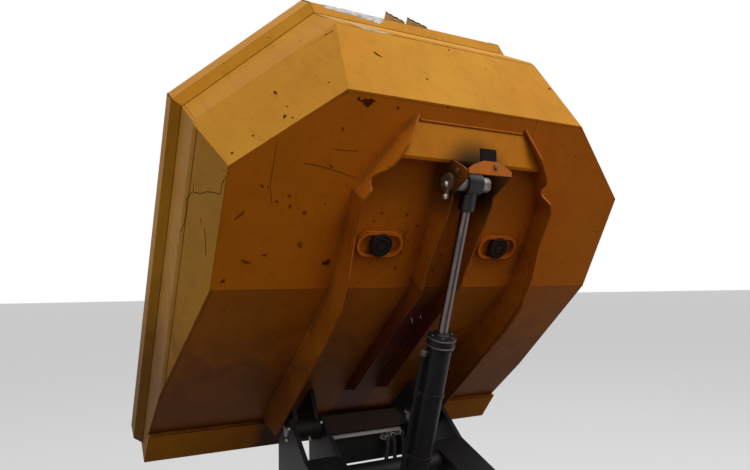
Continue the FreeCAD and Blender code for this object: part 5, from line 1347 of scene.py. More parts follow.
@dataclass
class Wheels(Assembly):
    """Four tyres with traction tread, and the nuts, valves and caps of their wheels."""

    lugs: int = 21
    tread_r: float = 0.4292
    profile: tuple[Pair, ...] = (
        (0.1935, 0.104), (0.2115, 0.1045), (0.2165, 0.126), (0.228, 0.1385), (0.234, 0.1375),
        (0.241, 0.1425), (0.262, 0.1480), (0.290, 0.1490), (0.318, 0.1465), (0.345, 0.1420),
        (0.368, 0.1370), (0.386, 0.1290), (0.397, 0.1130), (0.4015, 0.080), (0.403, 0.040))
    wall_rings: tuple[Pair, ...] = ((0.300, 0.1492), (0.334, 0.1441))
    nut_circle: float = 0.100
    hub_circle: float = 0.046
    hub_face: float = -0.0199

    def build(self) -> None:
        """Fit the four wheels."""
        self.shop.dress({Finish.WHEEL: "wheel_front* wheel_rear*", Finish.CHASSIS: "rear_axle"})
        for end, x in AXLES.items():
            for side, sign in (("left", 1), ("right", -1)):
                place = at(x, sign * TRACK_HALF, AXLE_Z) @ BOTH[sign < 0]
                self.tyre(f"{end}_{side}", place)
                self.fittings(f"{end}_{side}", place)

    def lug(self, sign: int) -> Shape:
        """One tread bar, from beside the middle out over the shoulder, bent round the tyre."""
        bm = Stock.block((0.034, 0.134, 0.026))
        bmesh.ops.translate(bm, vec=(0.0, 0.073, 0.013), verts=bm.verts)
        Stock.soften(bm, [e for e in Stock.level(bm) if e.verts[0].co.z > 0.01], 0.0035, 1)
        for y in (0.030, 0.060, 0.090, 0.112):
            bmesh.ops.bisect_plane(bm, geom=bm.verts[:] + bm.edges[:] + bm.faces[:], dist=1e-6,
                                   plane_co=(0, y, 0), plane_no=(0, 1, 0))
        for vert in bm.verts:
            x, y, z = vert.co
            swept = x * (1 + 0.25 * (y / 0.14)) + 0.62 * y + 0.25 * y * y / 0.14
            fall = 0.0 if y < 0.09 else 0.36 * (y - 0.09) ** 1.25 * 2.2
            height = self.tread_r - (0.026 - z) * (1.0 if z > 0.01 else 1.25) - fall
            turn = swept / 0.42
            vert.co = (height * math.sin(turn), sign * y, height * math.cos(turn))
        if sign < 0:
            bmesh.ops.reverse_faces(bm, faces=bm.faces)
        return bm

    def tyre(self, name: str, place: Matrix) -> None:
        """Make one tyre in place of its solid.

        Args:
            name: which wheel.
            place: the wheel's centre, mirrored on the right.
        """
        section = [(r, -y) for r, y in self.profile] + list(reversed(self.profile))
        parts = [(Stock.turned(section, 84), Matrix.Rotation(math.pi / 2, 4, "X"))]
        for sign, shift in ((1, 0.0), (-1, 0.5)):
            bar = self.lug(sign)
            parts += [(bar, Matrix.Rotation(math.tau * (step + shift) / self.lugs, 4, "Y"))
                      for step in range(self.lugs)]
        for radius, half in self.wall_rings:
            # Each corner of the ring's section: off the radius, off the wall
            corners = ((-0.003, -0.004), (-0.0015, 0.0016), (0.0015, 0.0012), (0.003, -0.005))
            parts += [(Stock.turned([(radius + r, sign * (half + y)) for r, y in corners], 84),
                       Matrix.Rotation(-math.pi / 2, 4, "X")) for sign in (1, -1)]
        made = self.piece(f"tread_tyre_{name}", Finish.TYRE,
                          [(part, place @ turn) for part, turn in parts], Body(f"wheel_{name}"),
                          smooth=42)
        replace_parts(made, f"tyre_{name}")

    def fittings(self, name: str, place: Matrix) -> None:
        """Nuts, studs, hub plugs and valve of one wheel.

        Args:
            name: which wheel.
            place: the wheel's centre, mirrored on the right.
        """
        out, body = (0, 1, 0), Body(f"wheel_{name}")
        parts = []
        for dx, dz, turn in around(8, self.nut_circle, math.pi / 8):
            spot = (dx, -0.0778, dz)
            parts += [(Stock.bolt(0.0145, 0.016), aimed(spot, out, turn)),
                      (Stock.drum(0.0075, 0.026, 14, 0.001), aimed(spot, out))]
        parts += [(Stock.bolt(0.0068, 0.006), aimed((dx, self.hub_face, dz), out, turn))
                  for dx, dz, turn in around(6, self.hub_circle)]
        parts += [(Stock.drum(0.026, 0.008, 32, 0.003), aimed((0, self.hub_face, 0), out)),
                  (Stock.drum(0.012, 0.007, 4, 0.001), aimed((0, -0.012, 0), out))]
        self.piece(f"wheel_nuts_{name}", Finish.PALE_STEEL,
                   [(part, place @ spot) for part, spot in parts], body)
        turn = math.radians(70)
        x, z = math.cos(turn), math.sin(turn)
        stand = place @ aimed((0.1835 * x, 0.030, 0.1835 * z), (-x, 0.9, -z))
        self.piece(f"valve_{name}", Finish.HOSE, [
            (Stock.drum(0.0045, 0.040, 14, 0.001), stand),
            (Stock.drum(0.0060, 0.012, 14, 0.001),
             stand @ Matrix.Translation((0, 0, 0.032)))], body)


@dataclass
class Seat(Assembly):
    """The seat: two foam pads in vinyl, swollen by a cloth simulation, on their dressed base."""

    cushion_lo: Vector = row(-1.060, -0.230, 0.802)
    cushion_hi: Vector = row(-0.650, 0.230, 0.910)
    back_foot: Vector = row(-1.025, 0.0, 0.914)
    back_top: Vector = row(-1.085, 0.0, 1.268)
    back_t: float = 0.088
    half: float = 0.230
    seams_x: Pair = (-0.085, 0.070)
    seams_z: Pair = (-0.080, 0.060)
    channel: Pair = (0.006, 0.007)
    shrink: float = 0.016
    most_swell: float = 0.022
    fill: float = 0.85

    def build(self) -> None:
        """Dress the base, and make both pads, the rails and the belt's buckle."""
        self.shop.dress({Finish.PLASTIC: "seat_base"})
        self.pad("seat_cushion", self.cushion_hi - self.cushion_lo,
                 Matrix.Translation((self.cushion_lo + self.cushion_hi) / 2), self.seams_x, "X")
        run = self.back_top - self.back_foot
        self.pad("seat_back", Vector((self.back_t, 2 * self.half, run.length)),
                 aimed((self.back_foot + self.back_top) / 2, run), self.seams_z, "Z")
        rails = Stock.blocks((0.400, 0.030, 0.012), [(-0.86, side * 0.215, 0.797)
                                                     for side in SIDES], 0.003)
        rails += Stock.blocks((0.030, 0.010, 0.150), [(-1.02, -0.246, 0.860)], 0.004)
        self.piece("seat_rails", Finish.STEEL, rails)
        self.piece("belt_buckle", Finish.PLASTIC, Stock.blocks(
            (0.052, 0.024, 0.075), [(-1.02, -0.246, 0.955)], 0.006))

    def pad(self, node: str, size: Vector, place: Matrix, seams: Sequence[float],
            axis: str) -> None:
        """One pad in the place of its solid, with piping and two sewn channels.

        Args:
            node: the solid that it stands for.
            size: its full size along its own axes.
            place: where its middle is, and how it is turned.
            seams: where the channels run, from its middle.
            axis: the axis along which seams are measured.
        """
        name = node + "_pad"
        core = Stock.block([side - self.shrink for side in size], 0.018, 3)
        made = linked(name, meshed(name, core))
        self.applied(made, "REMESH", mode="VOXEL", voxel_size=0.006)
        before = [v.co.copy() for v in made.data.vertices]
        self.swell(made)
        along, face = "XYZ".index(axis), 2 if axis == "X" else 0
        depth, width = self.channel
        for vert, start in zip(made.data.vertices, before):
            push = vert.co - start
            if push.length > self.most_swell:
                push *= self.most_swell / push.length
            spot = start + push
            for i, side in enumerate(size):
                spot[i] = max(-side / 2, min(side / 2, spot[i]))
            if spot[face] > 0:
                for seam in seams:
                    gap = (spot[along] - seam) / width
                    spot[face] -= depth * math.exp(-gap * gap)
            vert.co = spot
        self.applied(made, "SUBSURF", levels=1, render_levels=1)
        made.data.transform(place)
        made.data.shade_smooth()
        made.data.materials.append(self.shop.material(Finish.VINYL))
        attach(made, Body.REAR.value)
        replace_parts(made, node)
        LOG.info("made %s, %d faces", name, len(made.data.polygons))
        self.piping(made, size, place, face)

    @staticmethod
    def keep_result(made: bpy.types.Object) -> None:
        """Keep only what an object's modifiers make of it."""
        graph = bpy.context.evaluated_depsgraph_get()
        result = bpy.data.meshes.new_from_object(made.evaluated_get(graph))
        made.modifiers.clear()
        made.data = result

    def applied(self, made: bpy.types.Object, kind: str, **settings: object) -> None:
        """Add a modifier and keep only its result."""
        modifier = made.modifiers.new(kind.lower(), kind)
        for key, value in settings.items():
            setattr(modifier, key, value)
        self.keep_result(made)

    def swell(self, made: bpy.types.Object) -> None:
        """Blow the pad up as cloth under pressure and keep the result."""
        cloth = made.modifiers.new("stuffing", "CLOTH")
        cloth.settings.use_pressure = True
        cloth.settings.uniform_pressure_force = 4.0
        cloth.settings.effector_weights.gravity = 0.0
        cloth.settings.tension_stiffness = 25.0
        cloth.settings.quality = 5
        cloth.point_cache.frame_start = 1
        cloth.point_cache.frame_end = 20
        scene = bpy.context.scene
        for frame in range(1, 21):
            scene.frame_set(frame)
        self.keep_result(made)
        scene.frame_set(1)

    def piping(self, pad: bpy.types.Object, size: Vector, place: Matrix, face: int) -> None:
        """Sewn piping round the sitting face, laid on the pad.

        Args:
            pad: the finished pad.
            size: the pad's full size.
            place: the pad's placement.
            face: 2 where the pad is sat on, 0 where it is leant on.
        """
        points = []
        for step in range(49):
            turn = math.tau * step / 48
            spot = Vector((0.0, 0.0, 0.0))
            for i, share in ((2 - face, math.cos(turn)), (1, math.sin(turn))):
                rounded = math.copysign(abs(share) ** 0.28, share)
                spot[i] = rounded * (size[i] / 2 - 0.010)
            spot[face] = size[face] / 2 + 0.02
            found, hit, normal, _ = pad.closest_point_on_mesh(place @ spot)
            points.append(hit + normal * 0.0005 if found else place @ spot)
        self.piece(pad.name + "_piping", Finish.VINYL, [(Stock.tube(points, 0.0030, 2), BOTH[0])],
                   smooth=80)


@dataclass
class DriverPlace(Assembly):
    """Floor, dash, steering wheel, levers, pedals, tanks and steps."""

    floor_z: float = 0.608
    tread_pitch: float = 0.034
    dash_x: float = -0.330
    column_foot: Vector = row(-0.330, 0.0, 1.040)
    column_dir: Vector = Vector((-0.45, 0.0, 0.9)).normalized()
    wheel_at: float = 0.232
    ring_r: float = 0.175
    levers: Pair = (-0.385, -0.345)
    pedals: Pair = (0.095, -0.095)
    warning_y: tuple[float, ...] = (-0.045, -0.015, 0.015, 0.045)
    strap_x: Pair = (-0.570, -0.370)
    step_x: Pair = (-0.580, -0.360)
    head_lamp: Pair = (0.420, 0.905)

    def build(self) -> None:
        """Dress the driver's place and fit it out."""
        self.shop.dress({
            Finish.CHASSIS: "floor_plate fuel_tank hydraulic_tank", Finish.BODY: "dash_cowl",
            Finish.PLASTIC: "steering_column steering_wheel driver_controls lamps"})
        self.floor()
        self.dash()
        self.steering()
        self.controls()
        self.tanks()
        self.lamps()

    def floor(self) -> None:
        """Raised lozenges of the chequer plate, left out where something stands on it."""
        # Each place that is taken: from x to x, from y to y
        taken = ((-0.62, -0.48, -0.42, -0.31), (-0.44, -0.20, -0.25, 0.25),
                 (-0.25, -0.18, 0.39, 0.45), (-0.25, -0.18, -0.45, -0.39),
                 (-0.70, -0.645, -0.25, 0.25))
        mark = Stock.block((0.026, 0.0065, 0.0024), 0.001, 1)
        parts = []
        for line, step in itertools.product(range(13), range(28)):
            x, y = self.tread_pitch * line - 0.625, self.tread_pitch * step - 0.475
            if not any(a < x < b and c < y < d for a, b, c, d in taken):
                turn = math.pi / 4 if (line + step) % 2 else -math.pi / 4
                parts.append((mark, at(x, y, self.floor_z + 0.0008)
                              @ Matrix.Rotation(turn, 4, "Z")))
        self.piece("floor_chequer", Finish.STEEL, parts, slot="frame_paint", smooth=20)

    def on_dash(self, y: float, z: float, spin: float = 0.0) -> Matrix:
        """A placement on the cowl that looks back at the driver."""
        return aimed(row(self.dash_x, y, z), BACK, spin)

    def dash(self) -> None:
        """Gauges, warning lamps, rockers and the key on the cowl."""
        bezels, dials, hands = [], [], []
        needle = Stock.block((0.026, 0.002, 0.0015), 0.0004, 1)
        tick = Stock.block((0.006, 0.0014, 0.001), 0.0002, 1)
        for y, reading in ((0.105, 0.7), (-0.105, -0.5)):
            place = self.on_dash(y, 1.140)
            bezels.append((Stock.turned([(0.036, 0.0), (0.042, 0.0), (0.041, 0.010),
                                         (0.036, 0.012), (0.034, 0.009)]), place))
            dials.append((Stock.drum(0.0355, 0.005, 48, 0.001), place))
            marks = [(needle, reading, 0.010, 0.0058)]
            marks += [(tick, math.radians(30 * step - 120), 0.029, 0.0055) for step in range(9)]
            hands += [(part, place @ Matrix.Rotation(turn, 4, "Z")
                       @ Matrix.Translation((out, 0, high))) for part, turn, out, high in marks]
        lamps = [self.on_dash(y, 1.180) for y in self.warning_y]
        ring = Stock.turned([(0.006, 0.0), (0.009, 0.0), (0.008, 0.004), (0.006, 0.004)], 20)
        bezels += [(ring, place) for place in lamps]
        bezels += [(Stock.block((0.022, 0.034, 0.010), 0.002), self.on_dash(y, 1.130, math.pi / 2))
                   for y in (0.175, 0.205)]
        bezels.append((Stock.drum(0.016, 0.010, 28, 0.002), self.on_dash(-0.180, 1.085)))
        self.piece("dash_bezels", Finish.PLASTIC, bezels)
        self.piece("dash_dials", Finish.HOSE, dials, slot="black_plastic")
        self.piece("dash_needles", Finish.PALE_PEEL_AND_HIGHLIGHT, hands, slot="black_plastic")
        self.piece("dash_warning_lamps", Finish.AMBER, [
            (Stock.drum(0.006, 0.005, 20, 0.0015), place) for place in lamps])
        self.piece("ignition_key", Finish.PALE_STEEL, Stock.blocks(
            (0.022, 0.0025, 0.012), [(self.dash_x - 0.020, -0.180, 1.085)], 0.0008, 1))

    def steering(self) -> None:
        """Column boot, and the steering wheel's cap and knob."""
        boot = [(0.027, 0.030), (0.050, 0.030)]
        for step in range(4):
            reach, high = 0.048 - 0.004 * step, 0.036 + 0.018 * step
            boot += [(reach, high), (reach - 0.008, high + 0.009)]
        boot.append((0.027, 0.104))
        self.piece("column_boot", Finish.HOSE, [
            (Stock.turned(boot, 44), aimed(self.column_foot, self.column_dir))])
        centre = self.column_foot + self.column_dir * self.wheel_at
        cap = Stock.turned([(0.0, 0.0205), (0.030, 0.0205), (0.031, 0.025), (0.024, 0.029),
                            (0.0, 0.030)], 44)
        self.piece("wheel_boss_cap", Finish.PLASTIC, [(cap, aimed(centre, self.column_dir))],
                   Body.STEERING_WHEEL)
        knob = Stock.turned([(0.0, 0.0), (0.010, 0.0), (0.008, 0.014), (0.017, 0.022),
                             (0.021, 0.034), (0.017, 0.046), (0.0, 0.050)], 32)
        grip = centre + Vector((0.0, self.ring_r, 0.0)) + self.column_dir * 0.012
        self.piece("wheel_knob", Finish.PLASTIC, [(knob, aimed(grip, self.column_dir))],
                   Body.STEERING_WHEEL)

    def controls(self) -> None:
        """Lever gaiters, pedal rubbers and the console's screws."""
        gaiter = [(0.007, 0.030), (0.010, 0.030)]
        for step in range(3):
            reach, high = 0.013 + 0.002 * step, 0.024 - 0.008 * step
            gaiter += [(reach, high), (reach - 0.002, high - 0.004)]
        gaiter += [(0.0185, 0.0), (0.007, 0.0)]
        parts = [(Stock.turned(gaiter, 28), at(-0.549, y, 0.850)) for y in self.levers]
        tilt = Matrix.Rotation(-math.atan2(0.060, 0.090), 4, "Y")
        rib = Stock.block((0.004, 0.050, 0.004), 0.001, 1)
        for y in self.pedals:
            place = at(-0.375, y, 0.638) @ tilt
            parts.append((Stock.block((0.096, 0.056, 0.006), 0.002),
                          place @ Matrix.Translation((0, 0, 0.003))))
            parts += [(rib, place @ Matrix.Translation((0.012 * step, 0, 0.007)))
                      for step in range(-3, 4)]
        self.piece("gaiters_and_pedal_rubbers", Finish.HOSE, parts)
        self.piece("console_screws", Finish.PALE_STEEL, Stock.bolts(
            0.0045, 0.004, [row(x, y, 0.850) for x in (-0.590, -0.510)
                            for y in (-0.392, -0.338)], UP))

    def tanks(self) -> None:
        """Filler caps, straps, sight glass, drain plugs and the boarding steps."""
        cap = [(Stock.turned([(0.0, 0.034), (0.030, 0.034), (0.040, 0.028), (0.042, 0.010),
                              (0.034, 0.008), (0.030, 0.0), (0.0, 0.0)], 40), BOTH[0])]
        cap += [(Stock.block((0.004, 0.010, 0.020), 0.001, 1), Matrix.Rotation(turn, 4, "Z")
                 @ Matrix.Translation((0.041, 0, 0.019))) for _, _, turn in around(10, 1.0)]
        parts = []
        for side in SIDES:
            out = (0, side, 0)
            parts.append((joined(cap), aimed(row(-0.300, side * 0.500, 0.535), out)))
            parts += Stock.bolts(0.007, 0.008, [row(x, side * 0.5028, 0.580)
                                                for x in self.strap_x], out)
            parts += Stock.bolts(0.012, 0.010, [row(-0.470, side * 0.400, 0.350)], DOWN)
        self.piece("tank_caps", Finish.STEEL, parts)
        parts = []
        # Size, width of the softened edges, steps round them, then the places' x, y and z
        for size, soft, steps, xs, y, zs in (
                ((0.030, 0.003, 0.244), 0.001, 1, self.strap_x, 0.5013, (0.474,)),
                ((0.030, 0.180, 0.003), 0.001, 1, self.strap_x, 0.400, (0.3487,)),
                ((0.240, 0.030, 0.022), 0.004, 2, (-0.470,), 0.545, (0.360, 0.265)),
                ((0.012, 0.030, 0.330), 0.003, 2, self.step_x, 0.545, (0.405,)),
                ((0.012, 0.060, 0.030), 0.003, 2, self.step_x, 0.520, (0.555,))):
            spots = [(x, side * y, z) for side in SIDES for x in xs for z in zs]
            parts += Stock.blocks(size, spots, soft, steps)
        self.piece("tank_straps_and_steps", Finish.CHASSIS, parts)
        self.piece("oil_sight_glass", Finish.LAMP, Stock.blocks(
            (0.018, 0.010, 0.110), [(-0.470, -0.504, 0.470)], 0.003))

    def lamps(self) -> None:
        """Lenses, bezels and guards of the head lamps, and the rear lamp lenses."""
        half, high = self.head_lamp
        lens = Stock.turned([(0.0, 0.0002), (0.045, 0.0002), (0.045, 0.003), (0.030, 0.008),
                             (0.015, 0.010), (0.0, 0.0105)], 44)
        rim = Stock.turned([(0.045, 0.0), (0.0515, 0.0), (0.0515, 0.006), (0.047, 0.007),
                            (0.045, 0.004)], 44)
        fronts = [aimed(row(-0.169, side * half, high), AHEAD) for side in SIDES]
        guards = [(rim, place) for place in fronts]
        guards += [(Stock.drum(0.0022, 0.096, 10), at(-0.155, side * half + off, high - 0.048))
                   for side in SIDES for off in (-0.022, 0.0, 0.022)]
        self.piece("head_lamp_lenses", Finish.LAMP, [(lens, place) for place in fronts])
        self.piece("head_lamp_guards", Finish.PLASTIC, guards)
        for name, finish, width, y in (("tail_lenses", Finish.TAIL, 0.036, 0.344),
                                       ("turn_lenses", Finish.AMBER, 0.022, 0.313)):
            self.piece(name, finish, Stock.blocks(
                (0.008, width, 0.030), [(-1.8465, side * y, 0.708) for side in SIDES], 0.003))


@dataclass
class EngineBay(Assembly):
    """Engine, housing, exhaust, mudguards and bumper."""

    side_y: float = 0.385
    rear_x: float = -1.720
    engine_x: float = -1.450
    pipe: Pair = (-1.600, -0.411)
    guard_r: float = 0.485
    guard_y: Pair = (0.500, 0.910)
    guard_ends: Pair = (math.radians(20), math.radians(160))
    bumper_x: float = -1.8152

    def build(self) -> None:
        """Dress the rear of the machine and trim it."""
        self.shop.dress({Finish.BODY: "bonnet engine_side_panels",
                         Finish.CHASSIS: "rear_frame rear_bumper tow_hitch",
                         Finish.STEEL: "exhaust_pipe steer_ram_pin"})
        self.engine()
        self.housing()
        self.latches()
        self.exhaust()
        self.mudguards()
        self.bumper()

    def engine(self) -> None:
        """A three-cylinder diesel in the place of its plain block."""
        parts = []
        # Size, then place, of the block, head, sump, fan shroud and flywheel housing
        for size, spot in (((0.360, 0.300, 0.260), (self.engine_x, 0.0, 0.720)),
                           ((0.340, 0.240, 0.110), (self.engine_x, 0.0, 0.905)),
                           ((0.320, 0.220, 0.120), (self.engine_x, 0.0, 0.530)),
                           ((0.060, 0.380, 0.380), (-1.640, 0.0, 0.720)),
                           ((0.040, 0.340, 0.320), (-1.262, 0.0, 0.700))):
            parts += Stock.blocks(size, [spot], 0.016, 3)
        parts += Stock.blocks((0.006, 0.316, 0.200), [(0.045 * i - 1.580, 0, 0.730)
                                                      for i in range(7)], 0.002, 1)
        parts += Stock.blocks((0.040, 0.080, 0.040), [
            (x, side * 0.185, 0.540) for x in (-1.620, -1.310) for side in SIDES], 0.004)
        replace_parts(self.piece("engine_castings", Finish.IRON, parts), "engine")
        parts = Stock.blocks((0.300, 0.150, 0.050), [(self.engine_x, 0.0, 0.985)], 0.018, 4)
        parts += Stock.bolts(0.009, 0.010, [row(0.09 * i - 1.540, 0, 1.010)
                                            for i in range(3)], UP)
        parts.append((Stock.turned([(0.0, 0.0), (0.022, 0.0), (0.022, 0.012), (0.028, 0.014),
                                    (0.028, 0.030), (0.0, 0.032)], 32), at(-1.365, 0.045, 1.008)))
        self.piece("rocker_cover", Finish.CHASSIS, parts, slot="engine_iron")
        parts = [(Stock.drum(0.045, 0.120, 40, 0.008), at(-1.560, -0.172, 0.620)),
                 (Stock.drum(0.040, 0.110, 40, 0.008), at(-1.400, 0.175, 0.610))]
        cleaner = Stock.turned([(0.0, 0.0), (0.066, 0.0), (0.070, 0.010), (0.070, 0.230),
                                (0.062, 0.240), (0.030, 0.250), (0.0, 0.250)])
        parts.append((cleaner, aimed(row(-1.580, 0.120, 1.010), AHEAD)))
        self.piece("filters_and_air_cleaner", Finish.PLASTIC, parts)
        parts = [(Stock.turned([(0.0, 0.0), (r, 0.0), (r, 0.004), (r - 0.007, 0.010), (r, 0.016),
                                (r, 0.020), (0.0, 0.020)]), aimed(row(-1.675, y, z), BACK))
                 for y, z, r in ((0.0, 0.640, 0.075), (-0.100, 0.820, 0.040), (0.0, 0.860, 0.055))]
        for i in range(3):
            run = [row(0.02 * i - 1.500, -0.160, 0.760), row(0.05 * i - 1.520, -0.170, 0.860),
                   row(0.09 * i - 1.540, -0.152, 0.960), row(0.09 * i - 1.540, -0.122, 0.930)]
            parts.append((Stock.tube(run, 0.0035, 2), BOTH[0]))
        self.piece("pulleys_and_injector_pipes", Finish.PALE_STEEL, parts, slot="engine_iron")

    @staticmethod
    def louvre(length: float) -> Shape:
        """One pressed louvre along X that opens downwards, standing out along Z."""
        bm = Stock.block((length, 0.022, 0.009))
        low = [v for v in bm.verts if v.co.y > 0 and v.co.z > 0]
        bmesh.ops.translate(bm, vec=(0, 0, -0.0085), verts=low)
        ends = [v for v in bm.verts if v.co.z > 0 and v.co.y < 0]
        bmesh.ops.scale(bm, vec=(0.90, 1, 1), verts=ends)
        Stock.soften(bm, bm.edges[:], 0.0016)
        return bm

    def housing(self) -> None:
        """Louvres, rear grille, pressed lid ribs and bolts of the engine housing."""
        short, wide = self.louvre(0.160), self.louvre(0.260)
        parts = [(short, aimed(row(column, side * (self.side_y + 0.0035), 0.690 + 0.032 * i),
                               (0, side, 0), 0.0 if side < 0 else math.pi))
                 for side in SIDES for column in (-1.560, -1.360) for i in range(8)]
        parts += [(wide, aimed(row(self.rear_x - 0.0035, side * 0.165, 0.680 + 0.032 * i),
                               BACK, math.pi / 2)) for i in range(9) for side in SIDES]
        self.piece("housing_louvres", Finish.BODY, parts)
        self.piece("lid_pressings", Finish.BODY, Stock.blocks(
            (0.330, 0.046, 0.006), [(-1.420, y, 1.1915) for y in (-0.190, 0.0, 0.190)],
            0.0026, 3), Body.LID)
        parts = []
        for side in SIDES:
            parts += Stock.bolts(0.0065, 0.006, [row(x, side * (self.side_y + 0.0003), 0.622)
                                                 for x in (-1.690, -1.450, -1.215)], (0, side, 0))
        self.piece("housing_bolts", Finish.PALE_STEEL, parts)

    def latches(self) -> None:
        """The lid's latches with their catches, and its handle."""
        lid, catches = [], []
        for side, x in itertools.product(SIDES, (-1.620, -1.300)):
            for target, size, off, z in ((lid, (0.030, 0.050, 0.008), 0.0045, 1.012),
                                         (catches, (0.034, 0.028, 0.010), 0.0055, 0.955)):
                target.append((Stock.block(size, 0.003), aimed(
                    row(x, side * (self.side_y + off), z), (0, side, 0), math.pi / 2)))
        handle = [row(x, y, 1.030) for x, y in (
            (-1.7165, -0.075), (-1.745, -0.075), (-1.752, -0.060), (-1.752, 0.060),
            (-1.745, 0.075), (-1.7165, 0.075))]
        lid.append((Stock.tube(handle, 0.006), BOTH[0]))
        self.piece("lid_latches_and_handle", Finish.PLASTIC, lid, Body.LID)
        self.piece("latch_catches", Finish.PALE_STEEL, catches)

    def exhaust(self) -> None:
        """Clamp and rain flap of the exhaust."""
        x, y = self.pipe
        parts = [(Stock.band(0.0202, 0.0218, -0.006, 0.006, 36), at(x, y, z))
                 for z in (0.748, 0.792)]
        parts.append((Stock.drum(0.0212, 0.003, 36, 0.001), at(x + 0.003, y, 1.452)
                      @ Matrix.Rotation(math.radians(-24), 4, "Y")))
        parts += Stock.blocks((0.014, 0.012, 0.016), [(x - 0.017, y, 1.444)], 0.002)
        self.piece("exhaust_clamps_and_flap", Finish.STEEL, parts)

    def guard_roll(self) -> Shape:
        """The rolled sheet of a mudguard with its turned-in edge, about the wheel's centre."""
        r, (low, high), (start, end) = self.guard_r, self.guard_y, self.guard_ends
        edge = [(r - 0.004, low + 0.002), (r, low), (r, high - 0.006), (r - 0.003, high - 0.001),
                (r - 0.012, high - 0.001), (r - 0.012, high - 0.004), (r - 0.004, high - 0.006)]
        bm = bmesh.new()
        turn = Matrix.Rotation(-start, 3, "Y")
        verts = [bm.verts.new(turn @ Vector((radius, y, 0.0))) for radius, y in edge]
        wall = [bm.edges.new(pair) for pair in zip(verts, verts[1:] + verts[:1])]
        bmesh.ops.contextual_create(bm, geom=wall)
        bmesh.ops.spin(bm, geom=wall, cent=(0, 0, 0), axis=(0, 1, 0), steps=42,
                       angle=start - end)
        last = [v for v in bm.verts if abs(math.atan2(v.co.z, v.co.x) - end) < 1e-4]
        bmesh.ops.contextual_create(bm, geom=last)
        return bm

    def guard_cheek(self) -> Shape:
        """The flat inner cheek of a mudguard, about the wheel's centre."""
        bm = bmesh.new()
        bmesh.ops.create_circle(bm, cap_ends=True, radius=self.guard_r - 0.002, segments=108)
        bmesh.ops.rotate(bm, cent=(0, 0, 0), matrix=Matrix.Rotation(math.pi / 2, 3, "X"),
                         verts=bm.verts)
        bmesh.ops.bisect_plane(bm, geom=bm.verts[:] + bm.edges[:] + bm.faces[:], dist=1e-6,
                               plane_co=(0, 0, 0.1705), plane_no=(0, 0, 1), clear_inner=True)
        grown = bmesh.ops.extrude_face_region(bm, geom=bm.faces[:])
        fresh = [v for v in grown["geom"] if isinstance(v, bmesh.types.BMVert)]
        bmesh.ops.translate(bm, vec=(0, 0.004, 0), verts=fresh)
        bmesh.ops.translate(bm, vec=(0, self.guard_y[0], 0), verts=bm.verts)
        bmesh.ops.recalc_face_normals(bm, faces=bm.faces)
        return bm

    def mudguards(self) -> None:
        """Rolled mudguards in place of the flat lengths of the solids."""
        whole = joined([(self.guard_roll(), BOTH[0]), (self.guard_cheek(), BOTH[0])])
        bmesh.ops.recalc_face_normals(whole, faces=whole.faces)
        for side, mirror in zip(("left", "right"), BOTH):
            place = at(AXLES["rear"], 0.0, AXLE_Z) @ mirror
            made = self.piece(f"rolled_mudguard_{side}", Finish.BODY, [(whole, place)])
            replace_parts(made, f"mudguard_{side}")

    def bumper(self) -> None:
        """Bolts of the bumper and of the tow hitch."""
        parts = []
        # Half spacing across, heights, then the head's radius, length and turn
        for y, heights, radius, length, spin in ((0.200, (0.480, 0.600), 0.016, 0.013, 0.4),
                                                 (0.0688, (0.505, 0.575), 0.007, 0.007, 0.0)):
            spots = [row(self.bumper_x, side * y, z) for side in SIDES for z in heights]
            parts += Stock.bolts(radius, length, spots, BACK, spin)
        self.piece("bumper_bolts", Finish.PALE_STEEL, parts)


@dataclass
class RollBar(Assembly):
    """The folding roll-over bar with its foot bolts and welds, bands and beacon."""

    x: float = -1.120
    half: float = 0.470
    foot_y: Pair = (0.430, 0.495)
    foot_half: float = 0.035

    def build(self) -> None:
        """Dress the bar and its posts and trim them."""
        self.shop.dress({Finish.CHASSIS: "rops_post* rops_hoop", Finish.STEEL: "rops_hinge_pins"})
        self.piece("roll_bar_foot_bolts", Finish.PALE_STEEL, Stock.bolts(0.011, 0.011, [
            row(self.x + dx, side * y, 0.6142) for side in SIDES for dx in (-0.045, 0.045)
            for y in (0.345, 0.395)], UP))
        (inner, outer), dx = self.foot_y, self.foot_half
        runs = [((-dx, inner), (dx, inner)), ((-dx, outer), (dx, outer)),
                ((-dx, inner), (-dx, outer)), ((dx, inner), (dx, outer))]
        self.piece("roll_bar_welds", Finish.CHASSIS, [
            (Stock.bead(*(row(self.x + x, side * y, 0.6155) for x, y in run)), BOTH[0])
            for side in SIDES for run in runs], smooth=80)
        self.piece("roll_bar_bands", Finish.STEEL, [
            (Stock.band(0.0325, 0.0345, -0.010, 0.010), at(self.x, side * self.half, 2.150))
            for side in SIDES], Body.ROLL_BAR)
        self.piece("beacon_foot", Finish.PLASTIC, [
            (Stock.drum(0.030, 0.030, 32, 0.004), at(self.x, 0.0, 2.468)),
            (Stock.drum(0.058, 0.020, 40, 0.005), at(self.x, 0.0, 2.496))], Body.ROLL_BAR)
        dome = Stock.turned([(0.0, 0.0), (0.052, 0.0), (0.052, 0.070), (0.048, 0.088),
                             (0.036, 0.100), (0.018, 0.106), (0.0, 0.107)])
        self.piece("beacon_dome", Finish.AMBER, [(dome, at(self.x, 0.0, 2.5162))], Body.ROLL_BAR)


